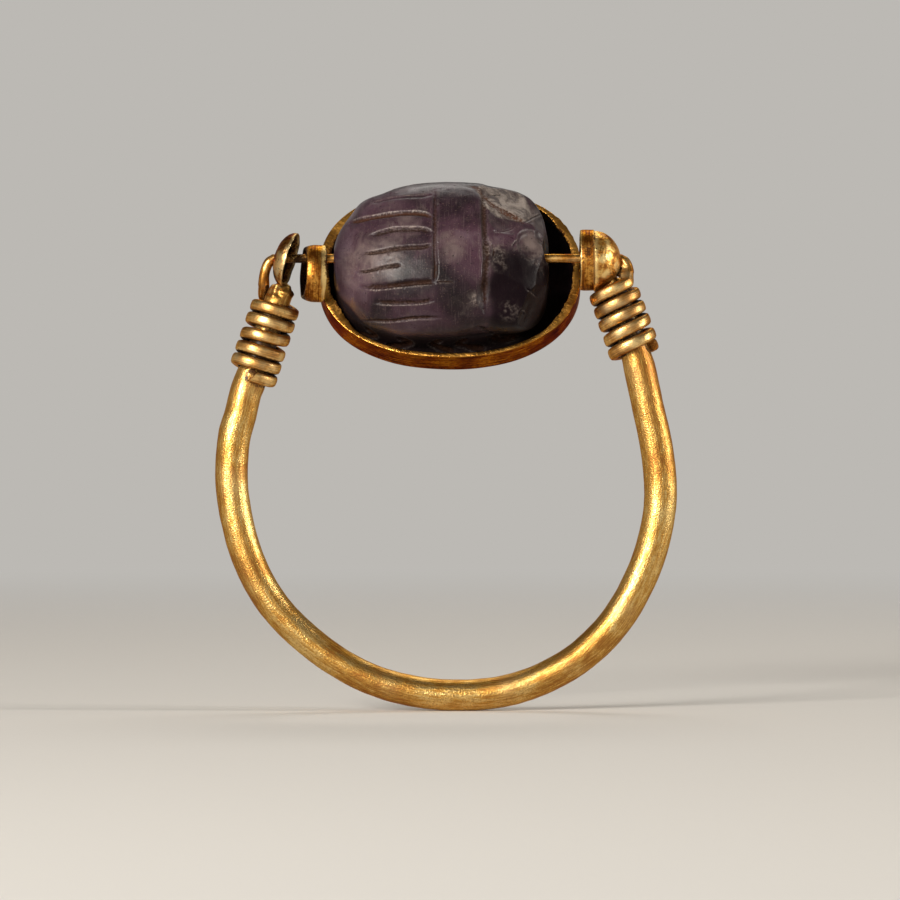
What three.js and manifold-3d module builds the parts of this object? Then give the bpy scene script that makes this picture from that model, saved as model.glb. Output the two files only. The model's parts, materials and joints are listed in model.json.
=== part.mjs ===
import * as THREE from 'three';
import { mergeVertices } from 'three/addons/utils/BufferGeometryUtils.js';
import Module from 'manifold-3d';

// Scarab swivel ring, in millimetres, +Z up, hoop in a plane that faces -Y.
// The origin is the middle of the whole ring, inside the finger opening.

const wasm = await Module();
wasm.setup();

// Hoop
const hoop_bulge = 2.57;
const hoop_drop = 13.94;
const hoop_plane_y = -0.95;
const shank_radius = 0.92;
const left_shoulder_radius = 0.73;
const right_shoulder_radius = 0.77;
const shoulder_growth = 0.07;
const neck_radius = 0.60;

// Pivot and its wire
const pivot_height = 10.59;
const pivot_wire_radius = 0.25;
const coil_wire_radius = 0.32;
const wire_clearance = 0.06;
const winding_clearance = 0.05;

// Cups at the ends of the hoop
const sheet = 0.17;
const seat_gap = 0.04;
const left_cup_radius = 1.57;
const left_cup_depth = 0.78;
const left_cup_drop = 0.10;
const right_cup_radius = 1.71;
const right_cup_depth = 1.49;
const right_cup_drop = 0.17;
const left_loop_stand = 0.16;
const right_loop_stand = 0.07;

// Shoulders: how far their tops lie below the cups, and over what height they lean out
const left_shoulder_below_cup = 0.72;
const right_shoulder_above_cup = 0.19;
const left_lean_height = 4.18;
const right_lean_height = 3.67;

// Scarab, which sets the size of its bezel
const scarab_length = 12.09;
const back_half_width = 4.72;
const back_height = 3.05;
const waist_depth = 2.10;
const base_plate_height = 0.80;
const base_plate_rear = 0.58;
const base_plate_front = 1.53;
const base_plate_side = 0.66;
const base_plate_x = 0.22;
const base_plate_y = 0.13;
const leg_top_below_pivot = 1.15;
const leg_rear_inset = 0.10;
const leg_front_inset = 0.29;
const leg_side_inset = 0.10;
const groove_radius = 0.16;
const head_groove_radius = 0.20;

// Bezel and its collars
const stone_gap = 0.05;
const band_height = 1.42;
const band_thickness = 0.25;
const rim_below_pivot = 1.64;
const left_collar_radius = 1.61;
const left_collar_length = 1.12;
const left_collar_overhang = 0.84;
const left_collar_drop = 0.80;
const left_collar_shift = 0.49;
const right_collar_radius = 1.71;
const right_collar_length = 0.76;
const right_collar_overlap = 0.09;
const left_run_gap = 0.096;
const right_run_gap = 0.05;

// Angles, in degrees
const bezel_tilt_deg = 60;
const left_cup_lean_deg = 15;
const left_cup_turn_deg = 10;
const left_collar_turn_deg = 5;
const left_winding_start_deg = 225;
const right_winding_start_deg = 40;

// Plain numbers
const back_oval_power = 2.4;
const front_oval_power = 2.22;
const leg_power = 2.6;
const oval_points = 64;
const wire_sides = 6;
const steps_per_turn = 24;
const shank_sides = 16;
const round_sides = 24;
const cap_steps = 6;
const arch_steps = 20;
const cutter_sides = 6;

const radians = (degrees) => degrees * Math.PI / 180;
const mix = (a, b, share) => a + (b - a) * share;
const smooth = (t) => {
  const held = Math.min(1, Math.max(0, t));
  return held * held * (3 - 2 * held);
};

// Rings of points joined into one closed body: each ring is a closed loop with as many points.
function loft(rings) {
  const sides = rings[0].length;
  const positions = [];
  const index = [];
  for (const ring of rings) {
    for (const point of ring) positions.push(point.x, point.y, point.z);
  }
  for (let i = 0; i + 1 < rings.length; i += 1) {
    for (let j = 0; j < sides; j += 1) {
      const a = i * sides + j;
      const b = i * sides + (j + 1) % sides;
      index.push(a, b, a + sides);
      index.push(b, b + sides, a + sides);
    }
  }
  for (const [ring, flip] of [[0, true], [rings.length - 1, false]]) {
    const middle = rings[ring].reduce((sum, p) => sum.add(p), new THREE.Vector3());
    middle.divideScalar(sides);
    positions.push(middle.x, middle.y, middle.z);
    const centre = positions.length / 3 - 1;
    for (let j = 0; j < sides; j += 1) {
      const a = ring * sides + j;
      const b = ring * sides + (j + 1) % sides;
      if (flip) index.push(centre, b, a);
      else index.push(centre, a, b);
    }
  }
  const geometry = new THREE.BufferGeometry();
  geometry.setAttribute('position', new THREE.Float32BufferAttribute(positions, 3));
  geometry.setIndex(index);
  return geometry;
}

// A round rod along a list of points, each with its own radius, carried along without twist.
function rod(points, radii, sides, first_side = new THREE.Vector3(0, 1, 0)) {
  const rings = [];
  const side = first_side.clone();
  points.forEach((point, i) => {
    const before = points[Math.max(0, i - 1)];
    const after = points[Math.min(points.length - 1, i + 1)];
    const along = after.clone().sub(before).normalize();
    side.addScaledVector(along, -side.dot(along)).normalize();
    const up = along.clone().cross(side);
    const ring = [];
    for (let j = 0; j < sides; j += 1) {
      const angle = 2 * Math.PI * j / sides;
      const place = point.clone();
      place.addScaledVector(side, radii[i] * Math.cos(angle));
      place.addScaledVector(up, radii[i] * Math.sin(angle));
      ring.push(place);
    }
    rings.push(ring);
  });
  return loft(rings);
}

function toSolid(geometry) {
  const bare = geometry.clone();
  bare.deleteAttribute('normal');
  bare.deleteAttribute('uv');
  const merged = mergeVertices(bare);
  return new wasm.Manifold(new wasm.Mesh({
    numProp: 3,
    vertProperties: new Float32Array(merged.attributes.position.array),
    triVerts: new Uint32Array(merged.index.array),
  }));
}

function toGeometry(solid) {
  const mesh = solid.getMesh();
  const geometry = new THREE.BufferGeometry();
  geometry.setAttribute('position', new THREE.Float32BufferAttribute(mesh.vertProperties, 3));
  geometry.setIndex(new THREE.Uint32BufferAttribute(mesh.triVerts, 1));
  return geometry;
}

// A closed oval, blunter than an ellipse where its power is over 2, at the back and at the front.
function ovalPoints(half_length, half_width, centre_x, centre_y, back_power, front_power) {
  const points = [];
  for (let i = 0; i < oval_points; i += 1) {
    const angle = 2 * Math.PI * i / oval_points;
    const c = Math.cos(angle);
    const s = Math.sin(angle);
    const power = s > 0 ? back_power : front_power;
    const x = centre_x + half_length * Math.sign(c) * Math.abs(c) ** (2 / power);
    const y = centre_y + half_width * Math.sign(s) * Math.abs(s) ** (2 / power);
    points.push(new THREE.Vector2(x, y));
  }
  return points;
}

function ovalPrism(points, bottom, top, hole) {
  const shape = new THREE.Shape(points);
  if (hole) shape.holes.push(new THREE.Path(hole));
  const geometry = new THREE.ExtrudeGeometry(shape, { depth: top - bottom, bevelEnabled: false });
  return geometry.translate(0, 0, bottom);
}

// A dished cap whose opening faces +X and whose rim lies at x = 0, with its wall inside the radius.
function cupGeometry(radius, depth, wall) {
  const profile = [];
  for (let i = 0; i <= cap_steps; i += 1) {
    const angle = Math.PI / 2 * i / cap_steps;
    profile.push(new THREE.Vector2(radius * Math.sin(angle), -depth * Math.cos(angle)));
  }
  profile[0].x = 0;
  for (let i = cap_steps; i >= 0 && wall; i -= 1) {
    const angle = Math.PI / 2 * i / cap_steps;
    const place = new THREE.Vector2(Math.sin(angle), -Math.cos(angle));
    profile.push(place.multiply(new THREE.Vector2(radius - wall, depth - wall)));
  }
  if (wall) profile[profile.length - 1].x = 0;
  else profile.push(new THREE.Vector2(0, 0));
  const geometry = new THREE.LatheGeometry(profile, round_sides);
  return geometry.rotateZ(-Math.PI / 2);
}

// The base plate, the band and the collars follow the stone, and the cups follow the collars.
const plate_half_length = (scarab_length + base_plate_rear + base_plate_front) / 2;
const scarab_rear_x = base_plate_x - plate_half_length + base_plate_rear;
const leg_half_width = back_half_width - leg_side_inset;
const leg_half_length = (scarab_length - leg_rear_inset - leg_front_inset) / 2;
const leg_x = scarab_rear_x + leg_rear_inset + leg_half_length;
const bezel_half_length = plate_half_length + stone_gap + band_thickness;
const bezel_half_width = leg_half_width + base_plate_side + stone_gap + band_thickness;
const left_collar_x = base_plate_x - bezel_half_length - left_collar_overhang;
const right_collar_x = base_plate_x + bezel_half_length - right_collar_overlap;

const left_cup_turn = new THREE.Quaternion().setFromEuler(
  new THREE.Euler(0, radians(left_cup_lean_deg), -radians(left_cup_turn_deg), 'ZYX'));
const left_cup_facing = new THREE.Vector3(1, 0, 0).applyQuaternion(left_cup_turn);
const left_cup_reach = left_cup_radius * Math.sqrt(1 - left_cup_facing.x ** 2);
const left_collar_reach = left_collar_radius * Math.sin(radians(left_collar_turn_deg));
const left_cup_place = new THREE.Vector3(
  left_collar_x - left_collar_reach - left_run_gap - left_cup_reach, 0, pivot_height - left_cup_drop);
const right_cup_place = new THREE.Vector3(
  right_collar_x + right_collar_length + right_run_gap, 0, pivot_height - right_cup_drop);

// The top of each shoulder lies behind its cup, and its axis leans out towards the hoop's side.
const left_shoulder_out_share = 0.936;
const right_shoulder_out_share = 0.671;
const left_side_share = 0.9045;
const right_side_share = 0.886;
const left_shoulder = new THREE.Vector3(
  left_cup_place.x - left_cup_depth * left_shoulder_out_share, 0,
  left_cup_place.z - left_cup_radius - left_shoulder_below_cup);
const right_shoulder = new THREE.Vector3(
  right_cup_place.x + right_cup_depth * right_shoulder_out_share, 0,
  right_cup_place.z - right_cup_radius + right_shoulder_above_cup);
const hoop_half_width = hoop_bulge - left_shoulder.x;

// One shoulder of the hoop: its straight axis, and the turns of wire round it from the top down.
// The angle is 0 at +X, 90 at the front, 180 at -X and 270 at the back.
const left_coil = {
  start: left_shoulder,
  lean: Math.atan2(left_shoulder.x + hoop_half_width * left_side_share, left_lean_height),
  top_radius: left_shoulder_radius,
  start_angle: radians(left_winding_start_deg),
  turns: 5.66,
  pitch: 0.745,
  level_share: 0.75,
  opening: 0.20,
  opening_turn: 2.1,
};
const right_coil = {
  start: right_shoulder,
  lean: Math.atan2(right_shoulder.x - hoop_half_width * right_side_share, right_lean_height),
  top_radius: right_shoulder_radius,
  start_angle: radians(right_winding_start_deg),
  turns: 4.93,
  pitch: 0.77,
  level_share: 0.10,
  opening: 0.12,
  opening_turn: 2.7,
};

function coilDrop(coil, turn) {
  const angle = coil.start_angle + 2 * Math.PI * turn;
  const level = coil.level_share * (Math.cos(angle) - Math.cos(coil.start_angle)) / (2 * Math.PI);
  return coil.pitch * (turn + level) + coil.opening * smooth(turn - coil.opening_turn);
}

const coilUp = (coil) => new THREE.Vector3(Math.sin(coil.lean), 0, Math.cos(coil.lean));
const coilSide = (coil) => new THREE.Vector3(Math.cos(coil.lean), 0, -Math.sin(coil.lean));
const coilAxis = (coil, drop) => coil.start.clone().addScaledVector(coilUp(coil), -drop);
const coilLength = (coil) => coilDrop(coil, coil.turns);

function shoulderRadius(coil, drop) {
  return coil.top_radius + shoulder_growth * drop / coilLength(coil);
}

function coilPoints(coil) {
  const count = Math.round(coil.turns * steps_per_turn);
  const points = [];
  for (let i = 0; i <= count; i += 1) {
    const turn = coil.turns * i / count;
    const angle = coil.start_angle + 2 * Math.PI * turn;
    const drop = coilDrop(coil, turn);
    const reach = shoulderRadius(coil, drop) + winding_clearance + coil_wire_radius;
    const point = coilAxis(coil, drop);
    point.addScaledVector(coilSide(coil), reach * Math.cos(angle));
    point.y -= reach * Math.sin(angle);
    points.push(point);
  }
  return points;
}

// Shank: a drawn rod that follows the finger, thinner inside the windings and at the necks.
// Each row is x as a share of the half width, the height as a share of the way from the bottom of
// the hoop up to the end of the winding on that side, and the radius share.
const hoop_shares = [
  [-0.934, 0.949, 0.97], [-0.988, 0.808, 1.00], [-1.000, 0.666, 0.99], [-0.968, 0.527, 0.99],
  [-0.904, 0.396, 0.98], [-0.800, 0.278, 0.96], [-0.659, 0.181, 0.95], [-0.498, 0.101, 0.94],
  [-0.321, 0.043, 0.94], [-0.130, 0.010, 0.95], [0.066, 0.000, 0.95], [0.267, 0.011, 0.96],
  [0.462, 0.052, 0.97], [0.640, 0.119, 0.99], [0.787, 0.213, 1.00], [0.895, 0.326, 1.00],
  [0.968, 0.449, 1.00], [1.000, 0.579, 1.00], [0.986, 0.710, 1.00], [0.943, 0.842, 0.98],
];
// Where the ends of the shank meet the middle of each cup, as shares of its depth and radius
const left_neck_share = { out: 0.692, down: 0.809 };
const right_neck_share = { out: 0.490, down: 0.620 };
const shank_steps = 72;
const path_tension = 0.5;

const left_neck = new THREE.Vector3(
  left_cup_place.x - left_cup_depth * left_neck_share.out, 0,
  left_cup_place.z - left_cup_radius * left_neck_share.down);
const right_neck = new THREE.Vector3(
  right_cup_place.x + right_cup_depth * right_neck_share.out, 0,
  right_cup_place.z - right_cup_radius * right_neck_share.down);

// The rod inside a winding, from its top to its end.
function shoulderStations(coil) {
  return [0, 0.5, 1].map((share) => {
    const drop = share * coilLength(coil);
    return { point: coilAxis(coil, drop), radius: shoulderRadius(coil, drop) };
  });
}

function shankGeometry() {
  const left_stations = shoulderStations(left_coil);
  const right_stations = shoulderStations(right_coil).reverse();
  const hoop_stations = hoop_shares.map(([x_share, height_share, radius_share]) => {
    const end_z = (x_share < 0 ? left_stations[2] : right_stations[0]).point.z;
    const point = new THREE.Vector3(x_share * hoop_half_width, 0, mix(-hoop_drop, end_z, height_share));
    return { point, radius: shank_radius * radius_share };
  });
  const stations = [
    { point: left_neck, radius: neck_radius }, ...left_stations, ...hoop_stations, ...right_stations,
    { point: right_neck, radius: neck_radius },
  ];
  const path = new THREE.CatmullRomCurve3(stations.map((s) => s.point), false, 'centripetal', path_tension);
  const points = [];
  const radii = [];
  for (let i = 0; i <= shank_steps; i += 1) {
    const place = (stations.length - 1) * i / shank_steps;
    const from = Math.min(stations.length - 2, Math.floor(place));
    points.push(path.getPoint(i / shank_steps));
    radii.push(mix(stations[from].radius, stations[from + 1].radius, place - from));
  }
  return rod(points, radii, shank_sides);
}

// Cups: thin sheet, pierced for the wire, soldered on the ends of the shank.
const wire_hole_radius = pivot_wire_radius + wire_clearance;

function pierced(solid, rim_x, depth) {
  const reach = 2 * depth;
  const drill = new THREE.CylinderGeometry(
    wire_hole_radius, wire_hole_radius, Math.abs(reach), round_sides);
  drill.rotateZ(Math.PI / 2);
  drill.translate(rim_x + reach / 2, 0, pivot_height);
  return solid.subtract(toSolid(drill));
}

function cupSolid(place, turn, radius, depth, wall) {
  const seat = new THREE.Matrix4().compose(place, turn, new THREE.Vector3(1, 1, 1));
  return toSolid(cupGeometry(radius, depth, wall).applyMatrix4(seat));
}

const right_cup_turn = new THREE.Quaternion().setFromEuler(new THREE.Euler(0, 0, Math.PI));
const left_cup = pierced(
  cupSolid(left_cup_place, left_cup_turn, left_cup_radius, left_cup_depth, sheet),
  left_cup_place.x, -left_cup_depth);
const right_cup = pierced(
  cupSolid(right_cup_place, right_cup_turn, right_cup_radius, right_cup_depth, sheet),
  right_cup_place.x, right_cup_depth);
const left_cup_room = cupSolid(
  left_cup_place, left_cup_turn, left_cup_radius + seat_gap, left_cup_depth + seat_gap, 0);
const right_cup_room = cupSolid(
  right_cup_place, right_cup_turn, right_cup_radius + seat_gap, right_cup_depth + seat_gap, 0);
const shank = toSolid(shankGeometry()).subtract(left_cup_room).subtract(right_cup_room);

// Pivot wire: one length, wound up the left shoulder, looped through the left cup, run straight
// through collars and stone, looped through the right cup and wound down the right shoulder.
const left_loop_end = new THREE.Vector3(
  left_cup_place.x - left_cup_depth - left_loop_stand, 0, pivot_height);
const right_loop_end = new THREE.Vector3(
  right_cup_place.x + right_cup_depth + right_loop_stand, 0, pivot_height);

// Each row is a point of the loop, as shares of the way in x, y and z from the straight stretch's
// end to the start of the winding.
const left_loop_shares = [[0, 0, 0], [0.551, 0, 0.122], [0.951, 0.077, 0.369], [1.065, 0.283, 0.650]];
const right_loop_shares = [[0, 0, 0], [0.920, 0.041, 0.137], [1.418, 0.218, 0.439], [1.379, 0.573, 0.740]];
const loop_steps = 12;
const pivot_steps = 6;

// The loop runs from its straight end into the first steps of the winding.
function loopPoints(end, shares, winding) {
  const way = winding[0].clone().sub(end);
  const loop = shares.map((share) => new THREE.Vector3(...share).multiply(way).add(end));
  const curve = new THREE.CatmullRomCurve3([...loop, winding[0], winding[2]], false, 'centripetal');
  const length_share = loop.length / (loop.length + 1);
  const points = [];
  for (let i = 0; i < loop_steps; i += 1) points.push(curve.getPoint(length_share * i / loop_steps));
  return points;
}

function wireGeometry() {
  const points = [];
  const radii = [];
  const left_winding = coilPoints(left_coil);
  const right_winding = coilPoints(right_coil);
  const left_points = loopPoints(left_loop_end, left_loop_shares, left_winding);
  const right_points = loopPoints(right_loop_end, right_loop_shares, right_winding);
  const add = (point, radius) => {
    points.push(point);
    radii.push(radius);
  };
  const loopRadius = (i) => mix(pivot_wire_radius, coil_wire_radius, smooth(2 * i / loop_steps));
  [...left_winding].reverse().forEach((point) => add(point, coil_wire_radius));
  for (let i = loop_steps - 1; i >= 0; i -= 1) add(left_points[i], loopRadius(i));
  for (let i = 1; i < pivot_steps; i += 1) {
    add(left_loop_end.clone().lerp(right_loop_end, i / pivot_steps), pivot_wire_radius);
  }
  for (let i = 0; i < loop_steps; i += 1) add(right_points[i], loopRadius(i));
  right_winding.forEach((point) => add(point, coil_wire_radius));
  const gaps = [left_winding, right_winding].map((winding) => leastGap(winding).toFixed(3));
  console.log('least gap of the wire to itself, left and right, in mm:', ...gaps);
  return rod(points, radii, wire_sides);
}

// Surface to surface, between points at least half a turn apart along the wire.
function leastGap(points) {
  let least = Infinity;
  for (let i = 0; i < points.length; i += 1) {
    for (let j = i + steps_per_turn / 2; j < points.length; j += 1) {
      least = Math.min(least, points[i].distanceTo(points[j]));
    }
  }
  return least - 2 * coil_wire_radius;
}

// Bezel, in a frame of its own: x along the pivot, z out of the scarab's back, pivot at z = 0.
const rim_z = -rim_below_pivot;
const base_z = rim_z - band_height;
const bezelOval = (inset) => ovalPoints(
  bezel_half_length - inset, bezel_half_width - inset, base_plate_x, base_plate_y,
  back_oval_power, front_oval_power);
const band = ovalPrism(bezelOval(0), base_z, rim_z, bezelOval(band_thickness));

// Collars: short open tubes round the wire, notched over the ends of the band and soldered there.
const band_room = toSolid(ovalPrism(bezelOval(-seat_gap), base_z - band_height, rim_z + seat_gap));

function collarSolid(radius, length, start_x, shift, drop, turn) {
  const inner = radius - sheet;
  const profile = [[inner, 0], [radius, 0], [radius, length], [inner, length], [inner, 0]];
  const geometry = new THREE.LatheGeometry(profile.map(([r, h]) => new THREE.Vector2(r, h)), round_sides);
  geometry.translate(0, -length / 2, 0).rotateZ(-Math.PI / 2).rotateY(turn);
  geometry.translate(start_x + length / 2, -shift, -drop);
  return toSolid(geometry).subtract(band_room);
}

const left_collar = collarSolid(
  left_collar_radius, left_collar_length, left_collar_x, left_collar_shift, left_collar_drop,
  radians(left_collar_turn_deg));
const right_collar = collarSolid(
  right_collar_radius, right_collar_length, right_collar_x, 0, right_cup_drop, 0);

// Scarab: each row is the place along the body, the half width, the top above the pivot and the
// waist below it, as shares of the body's length, half width, back height and waist depth.
const body_shares = [
  [0.000, 0.140, 0.150, 0.70], [0.010, 0.250, 0.190, 0.88], [0.028, 0.370, 0.250, 0.95],
  [0.075, 0.570, 0.385, 0.90], [0.115, 0.700, 0.550, 0.72], [0.168, 0.818, 0.720, 0.52],
  [0.225, 0.885, 0.820, 0.36], [0.290, 0.945, 0.905, 0.21], [0.370, 0.985, 0.965, 0.15],
  [0.460, 1.000, 1.000, 0.12], [0.560, 0.998, 1.000, 0.06], [0.640, 0.975, 0.985, -0.02],
  [0.688, 0.958, 0.950, -0.06], [0.716, 0.950, 0.880, 0.00], [0.790, 0.945, 0.740, 0.08],
  [0.870, 0.912, 0.590, 0.14], [0.930, 0.815, 0.450, 0.22], [0.970, 0.640, 0.340, 0.34],
  [0.992, 0.420, 0.260, 0.44], [1.000, 0.240, 0.210, 0.44],
];
const arch_power = 0.92;
const leg_inset_share = 0.90;

function bodySection(share) {
  const last = body_shares.length - 1;
  let row = 0;
  while (row < last - 1 && body_shares[row + 1][0] < share) row += 1;
  const [from, to] = [body_shares[row], body_shares[row + 1]];
  const part = (share - from[0]) / (to[0] - from[0]);
  return {
    x: scarab_rear_x + scarab_length * share,
    half_width: back_half_width * mix(from[1], to[1], part),
    top: back_height * mix(from[2], to[2], part),
    waist: -waist_depth * mix(from[3], to[3], part),
  };
}

// A point of the back: side runs from 1 at +y over the top to -1, as a share of the half width.
function backPoint(section, side) {
  const rise = Math.max(0, 1 - side * side) ** (arch_power / 2);
  const z = section.waist + (section.top - section.waist) * rise;
  return new THREE.Vector3(section.x, side * section.half_width, z);
}

const leg_bottom_z = base_z + base_plate_height / 2;

function bodyGeometry() {
  const rings = body_shares.map(([share]) => {
    const section = bodySection(share);
    const ring = [];
    for (let i = 0; i <= arch_steps; i += 1) {
      ring.push(backPoint(section, Math.cos(Math.PI * i / arch_steps)));
    }
    const under = section.half_width * leg_inset_share;
    ring.push(new THREE.Vector3(section.x, -under, leg_bottom_z));
    ring.push(new THREE.Vector3(section.x, under, leg_bottom_z));
    return ring;
  });
  return loft(rings);
}

// Grooves are cut by thin rods that lie on the back.
const elytra_groove_shares = [
  [0.94, 0.10, 0.43], [0.83, 0.09, 0.45], [0.655, 0.08, 0.46], [0.47, 0.11, 0.30], [0.265, 0.08, 0.46],
  [0.04, 0.08, 0.46], [-0.21, 0.08, 0.46], [-0.483, 0.11, 0.29], [-0.655, 0.09, 0.45],
  [-0.827, 0.10, 0.45], [-0.953, 0.12, 0.43],
];
const elytra_line_share = 0.466;
const head_groove_share = 0.702;
const head_groove_reach_share = 0.97;
const elytra_line_reach_share = 0.72;
const groove_limit_share = 0.96;
const groove_draw_in_share = 0.45;
const cutter_steps = 10;
const cutter_side = new THREE.Vector3(0.3, 0.5, 0.8);

function cutter(points, radius) {
  const radii = points.map((_, i) => {
    const share = (i + 0.5) / points.length;
    return radius * Math.sqrt(Math.sin(Math.PI * share));
  });
  return toSolid(rod(points, radii, cutter_sides, cutter_side));
}

// A groove along the body draws in less than the body does towards the rear.
function lengthwise(side, from_share, to_share) {
  const points = [];
  for (let i = 0; i <= cutter_steps; i += 1) {
    const section = bodySection(mix(from_share, to_share, i / cutter_steps));
    const widened = side * (back_half_width / section.half_width) ** (1 - groove_draw_in_share);
    const held = Math.min(groove_limit_share, Math.max(-groove_limit_share, widened));
    points.push(backPoint(section, held));
  }
  return cutter(points, groove_radius);
}

function crosswise(share, radius, reach_share) {
  const points = [];
  for (let i = 0; i <= 2 * cutter_steps; i += 1) {
    const side = reach_share * Math.cos(Math.PI * i / (2 * cutter_steps));
    points.push(backPoint(bodySection(share), side));
  }
  return cutter(points, radius);
}

function scarabSolid() {
  const plate_oval = bezelOval(band_thickness + stone_gap);
  const leg_oval = ovalPoints(leg_half_length, leg_half_width, leg_x, 0, leg_power, leg_power);
  const plate = toSolid(ovalPrism(plate_oval, base_z, base_z + base_plate_height));
  const legs = toSolid(ovalPrism(leg_oval, leg_bottom_z, -leg_top_below_pivot));
  let stone = toSolid(bodyGeometry()).add(plate).add(legs);
  for (const [side, from_share, to_share] of elytra_groove_shares) {
    stone = stone.subtract(lengthwise(side, from_share, to_share));
  }
  stone = stone.subtract(crosswise(elytra_line_share, groove_radius, elytra_line_reach_share));
  stone = stone.subtract(crosswise(head_groove_share, head_groove_radius, head_groove_reach_share));
  const bore = new THREE.CylinderGeometry(
    wire_hole_radius, wire_hole_radius, 2 * scarab_length, round_sides / 2);
  return stone.subtract(toSolid(bore.rotateZ(Math.PI / 2)));
}

// Materials
const gold = (color, roughness) => new THREE.MeshStandardMaterial({ color, roughness, metalness: 1 });
const shank_gold = gold(0xd9a441, 0.32);
const wire_gold = gold(0xd6a64a, 0.30);
const cup_gold = gold(0xc99238, 0.40);
const band_gold = gold(0xb87a28, 0.38);
const collar_gold = gold(0xb98030, 0.40);
const amethyst = new THREE.MeshStandardMaterial({ color: 0x4b3b4e, roughness: 0.35, metalness: 0 });

function named(name, geometry, material) {
  const mesh = new THREE.Mesh(geometry, material);
  mesh.name = name;
  return mesh;
}

const hoop = new THREE.Group();
hoop.add(named('hoop_shank', toGeometry(shank), shank_gold));
hoop.add(named('left_cup_terminal', toGeometry(left_cup), cup_gold));
hoop.add(named('right_cup_terminal', toGeometry(right_cup), cup_gold));
hoop.add(named('pivot_wire', wireGeometry(), wire_gold));

const bezel = new THREE.Group();
bezel.position.z = pivot_height;
bezel.rotation.x = radians(bezel_tilt_deg);
bezel.add(named('bezel_band', band, band_gold));
bezel.add(named('left_collar', toGeometry(left_collar), collar_gold));
bezel.add(named('right_collar', toGeometry(right_collar), collar_gold));
bezel.add(named('scarab_stone', toGeometry(scarabSolid()), amethyst));

const group = new THREE.Group();
group.position.y = hoop_plane_y;
group.add(hoop, bezel);
export default group;
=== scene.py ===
import json
import math
import bpy
import numpy as np
from mathutils import Euler, Matrix, Vector, bvhtree, kdtree, noise


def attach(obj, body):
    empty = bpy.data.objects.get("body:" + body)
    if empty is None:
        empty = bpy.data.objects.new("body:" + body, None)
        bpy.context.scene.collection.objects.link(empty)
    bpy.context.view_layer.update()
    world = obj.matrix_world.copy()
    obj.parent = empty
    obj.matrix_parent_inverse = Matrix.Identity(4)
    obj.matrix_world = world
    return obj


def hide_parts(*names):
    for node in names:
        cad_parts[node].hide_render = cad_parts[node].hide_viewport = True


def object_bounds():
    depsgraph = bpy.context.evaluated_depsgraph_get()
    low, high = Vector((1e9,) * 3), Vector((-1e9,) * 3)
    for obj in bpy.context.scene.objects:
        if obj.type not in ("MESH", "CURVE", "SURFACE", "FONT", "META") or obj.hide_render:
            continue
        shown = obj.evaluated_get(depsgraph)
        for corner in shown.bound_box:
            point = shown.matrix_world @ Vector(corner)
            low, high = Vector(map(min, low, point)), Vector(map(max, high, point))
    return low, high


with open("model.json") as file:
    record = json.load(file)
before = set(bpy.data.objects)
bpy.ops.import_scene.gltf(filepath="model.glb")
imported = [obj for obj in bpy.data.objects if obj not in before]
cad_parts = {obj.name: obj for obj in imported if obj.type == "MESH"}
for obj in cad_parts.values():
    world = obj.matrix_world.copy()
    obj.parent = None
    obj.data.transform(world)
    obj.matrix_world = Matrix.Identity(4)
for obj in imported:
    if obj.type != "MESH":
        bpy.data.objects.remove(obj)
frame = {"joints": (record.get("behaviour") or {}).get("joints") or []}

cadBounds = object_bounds()
mm = 0.001
swivel = frame["joints"][0]["pos_m"]
hoopPlane = Vector((0, swivel[1], 0))
pivotPoint = Vector(swivel)
pivotHeight = swivel[2] / mm
bezelTilt = math.radians(60)  # how far the scarab's back is turned from straight up towards the viewer
print("frame loaded")


# Helpers: selection, meshes, finishing. Pieces are made in mm, in the frame of their own body

def deselectAll():
    if bpy.context.object and bpy.context.object.mode != "OBJECT":
        leaveEdit()
    bpy.ops.object.select_all(action="DESELECT")


def leaveEdit():
    bpy.ops.object.mode_set(mode="OBJECT")


def pick(piece):
    deselectAll()
    piece.select_set(True)
    bpy.context.view_layer.objects.active = piece


def edit(piece, choose="SELECT", kind="VERT"):
    pick(piece)
    bpy.ops.object.mode_set(mode="EDIT")
    bpy.ops.mesh.select_mode(type=kind)
    bpy.ops.mesh.select_all(action=choose)


def modify(piece, kind, **settings):
    pick(piece)
    modifier = piece.modifiers.new(kind.title(), kind)
    for name, value in settings.items():
        setattr(modifier, name, value)
    bpy.ops.object.modifier_apply(modifier=modifier.name)


def points(piece, what="co"):
    flat = np.zeros(len(piece.data.vertices) * 3)
    piece.data.vertices.foreach_get(what, flat)
    return flat.reshape(-1, 3)


def setPoints(piece, places):
    piece.data.vertices.foreach_set("co", np.ascontiguousarray(places, dtype=float).ravel())
    piece.data.update()


def paint(piece, **layers):
    # values per vertex that the materials read: shares from 0 to 1, or places
    for name, values in layers.items():
        values = np.asarray(values, dtype=np.float32)
        if values.ndim == 1:
            layer = piece.data.attributes.new(name, "FLOAT", "POINT")
            layer.data.foreach_set("value", np.clip(values, 0, 1))
        else:
            layer = piece.data.attributes.new(name, "FLOAT_VECTOR", "POINT")
            layer.data.foreach_set("vector", values.ravel())


def lumps(places, size, seed):
    # smooth noise from -1 to 1 for lumps of this size in mm
    shift = Vector((seed * 7.3, seed * 3.1, seed * 5.7))
    return np.array([noise.noise(Vector(p) / size + shift) for p in places])


def smoothStep(value, low=0, high=1):
    t = np.clip((np.asarray(value, float) - low) / (high - low), 0, 1)
    return t * t * (3 - 2 * t)


def relief(places, *rows):
    # lumps added up: size in mm, seed and height in mm of each
    return sum(lumps(places, size, seed) * height for size, seed, height in rows)


def patches(places, patch):
    # patches from 0 to 1: size in mm, seed, and the noise at which they start and are full
    size, seed, low, high = patch
    return smoothStep(lumps(places, size, seed), low, high)


def lengths(vectors):
    return np.linalg.norm(vectors, axis=1)


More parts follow.
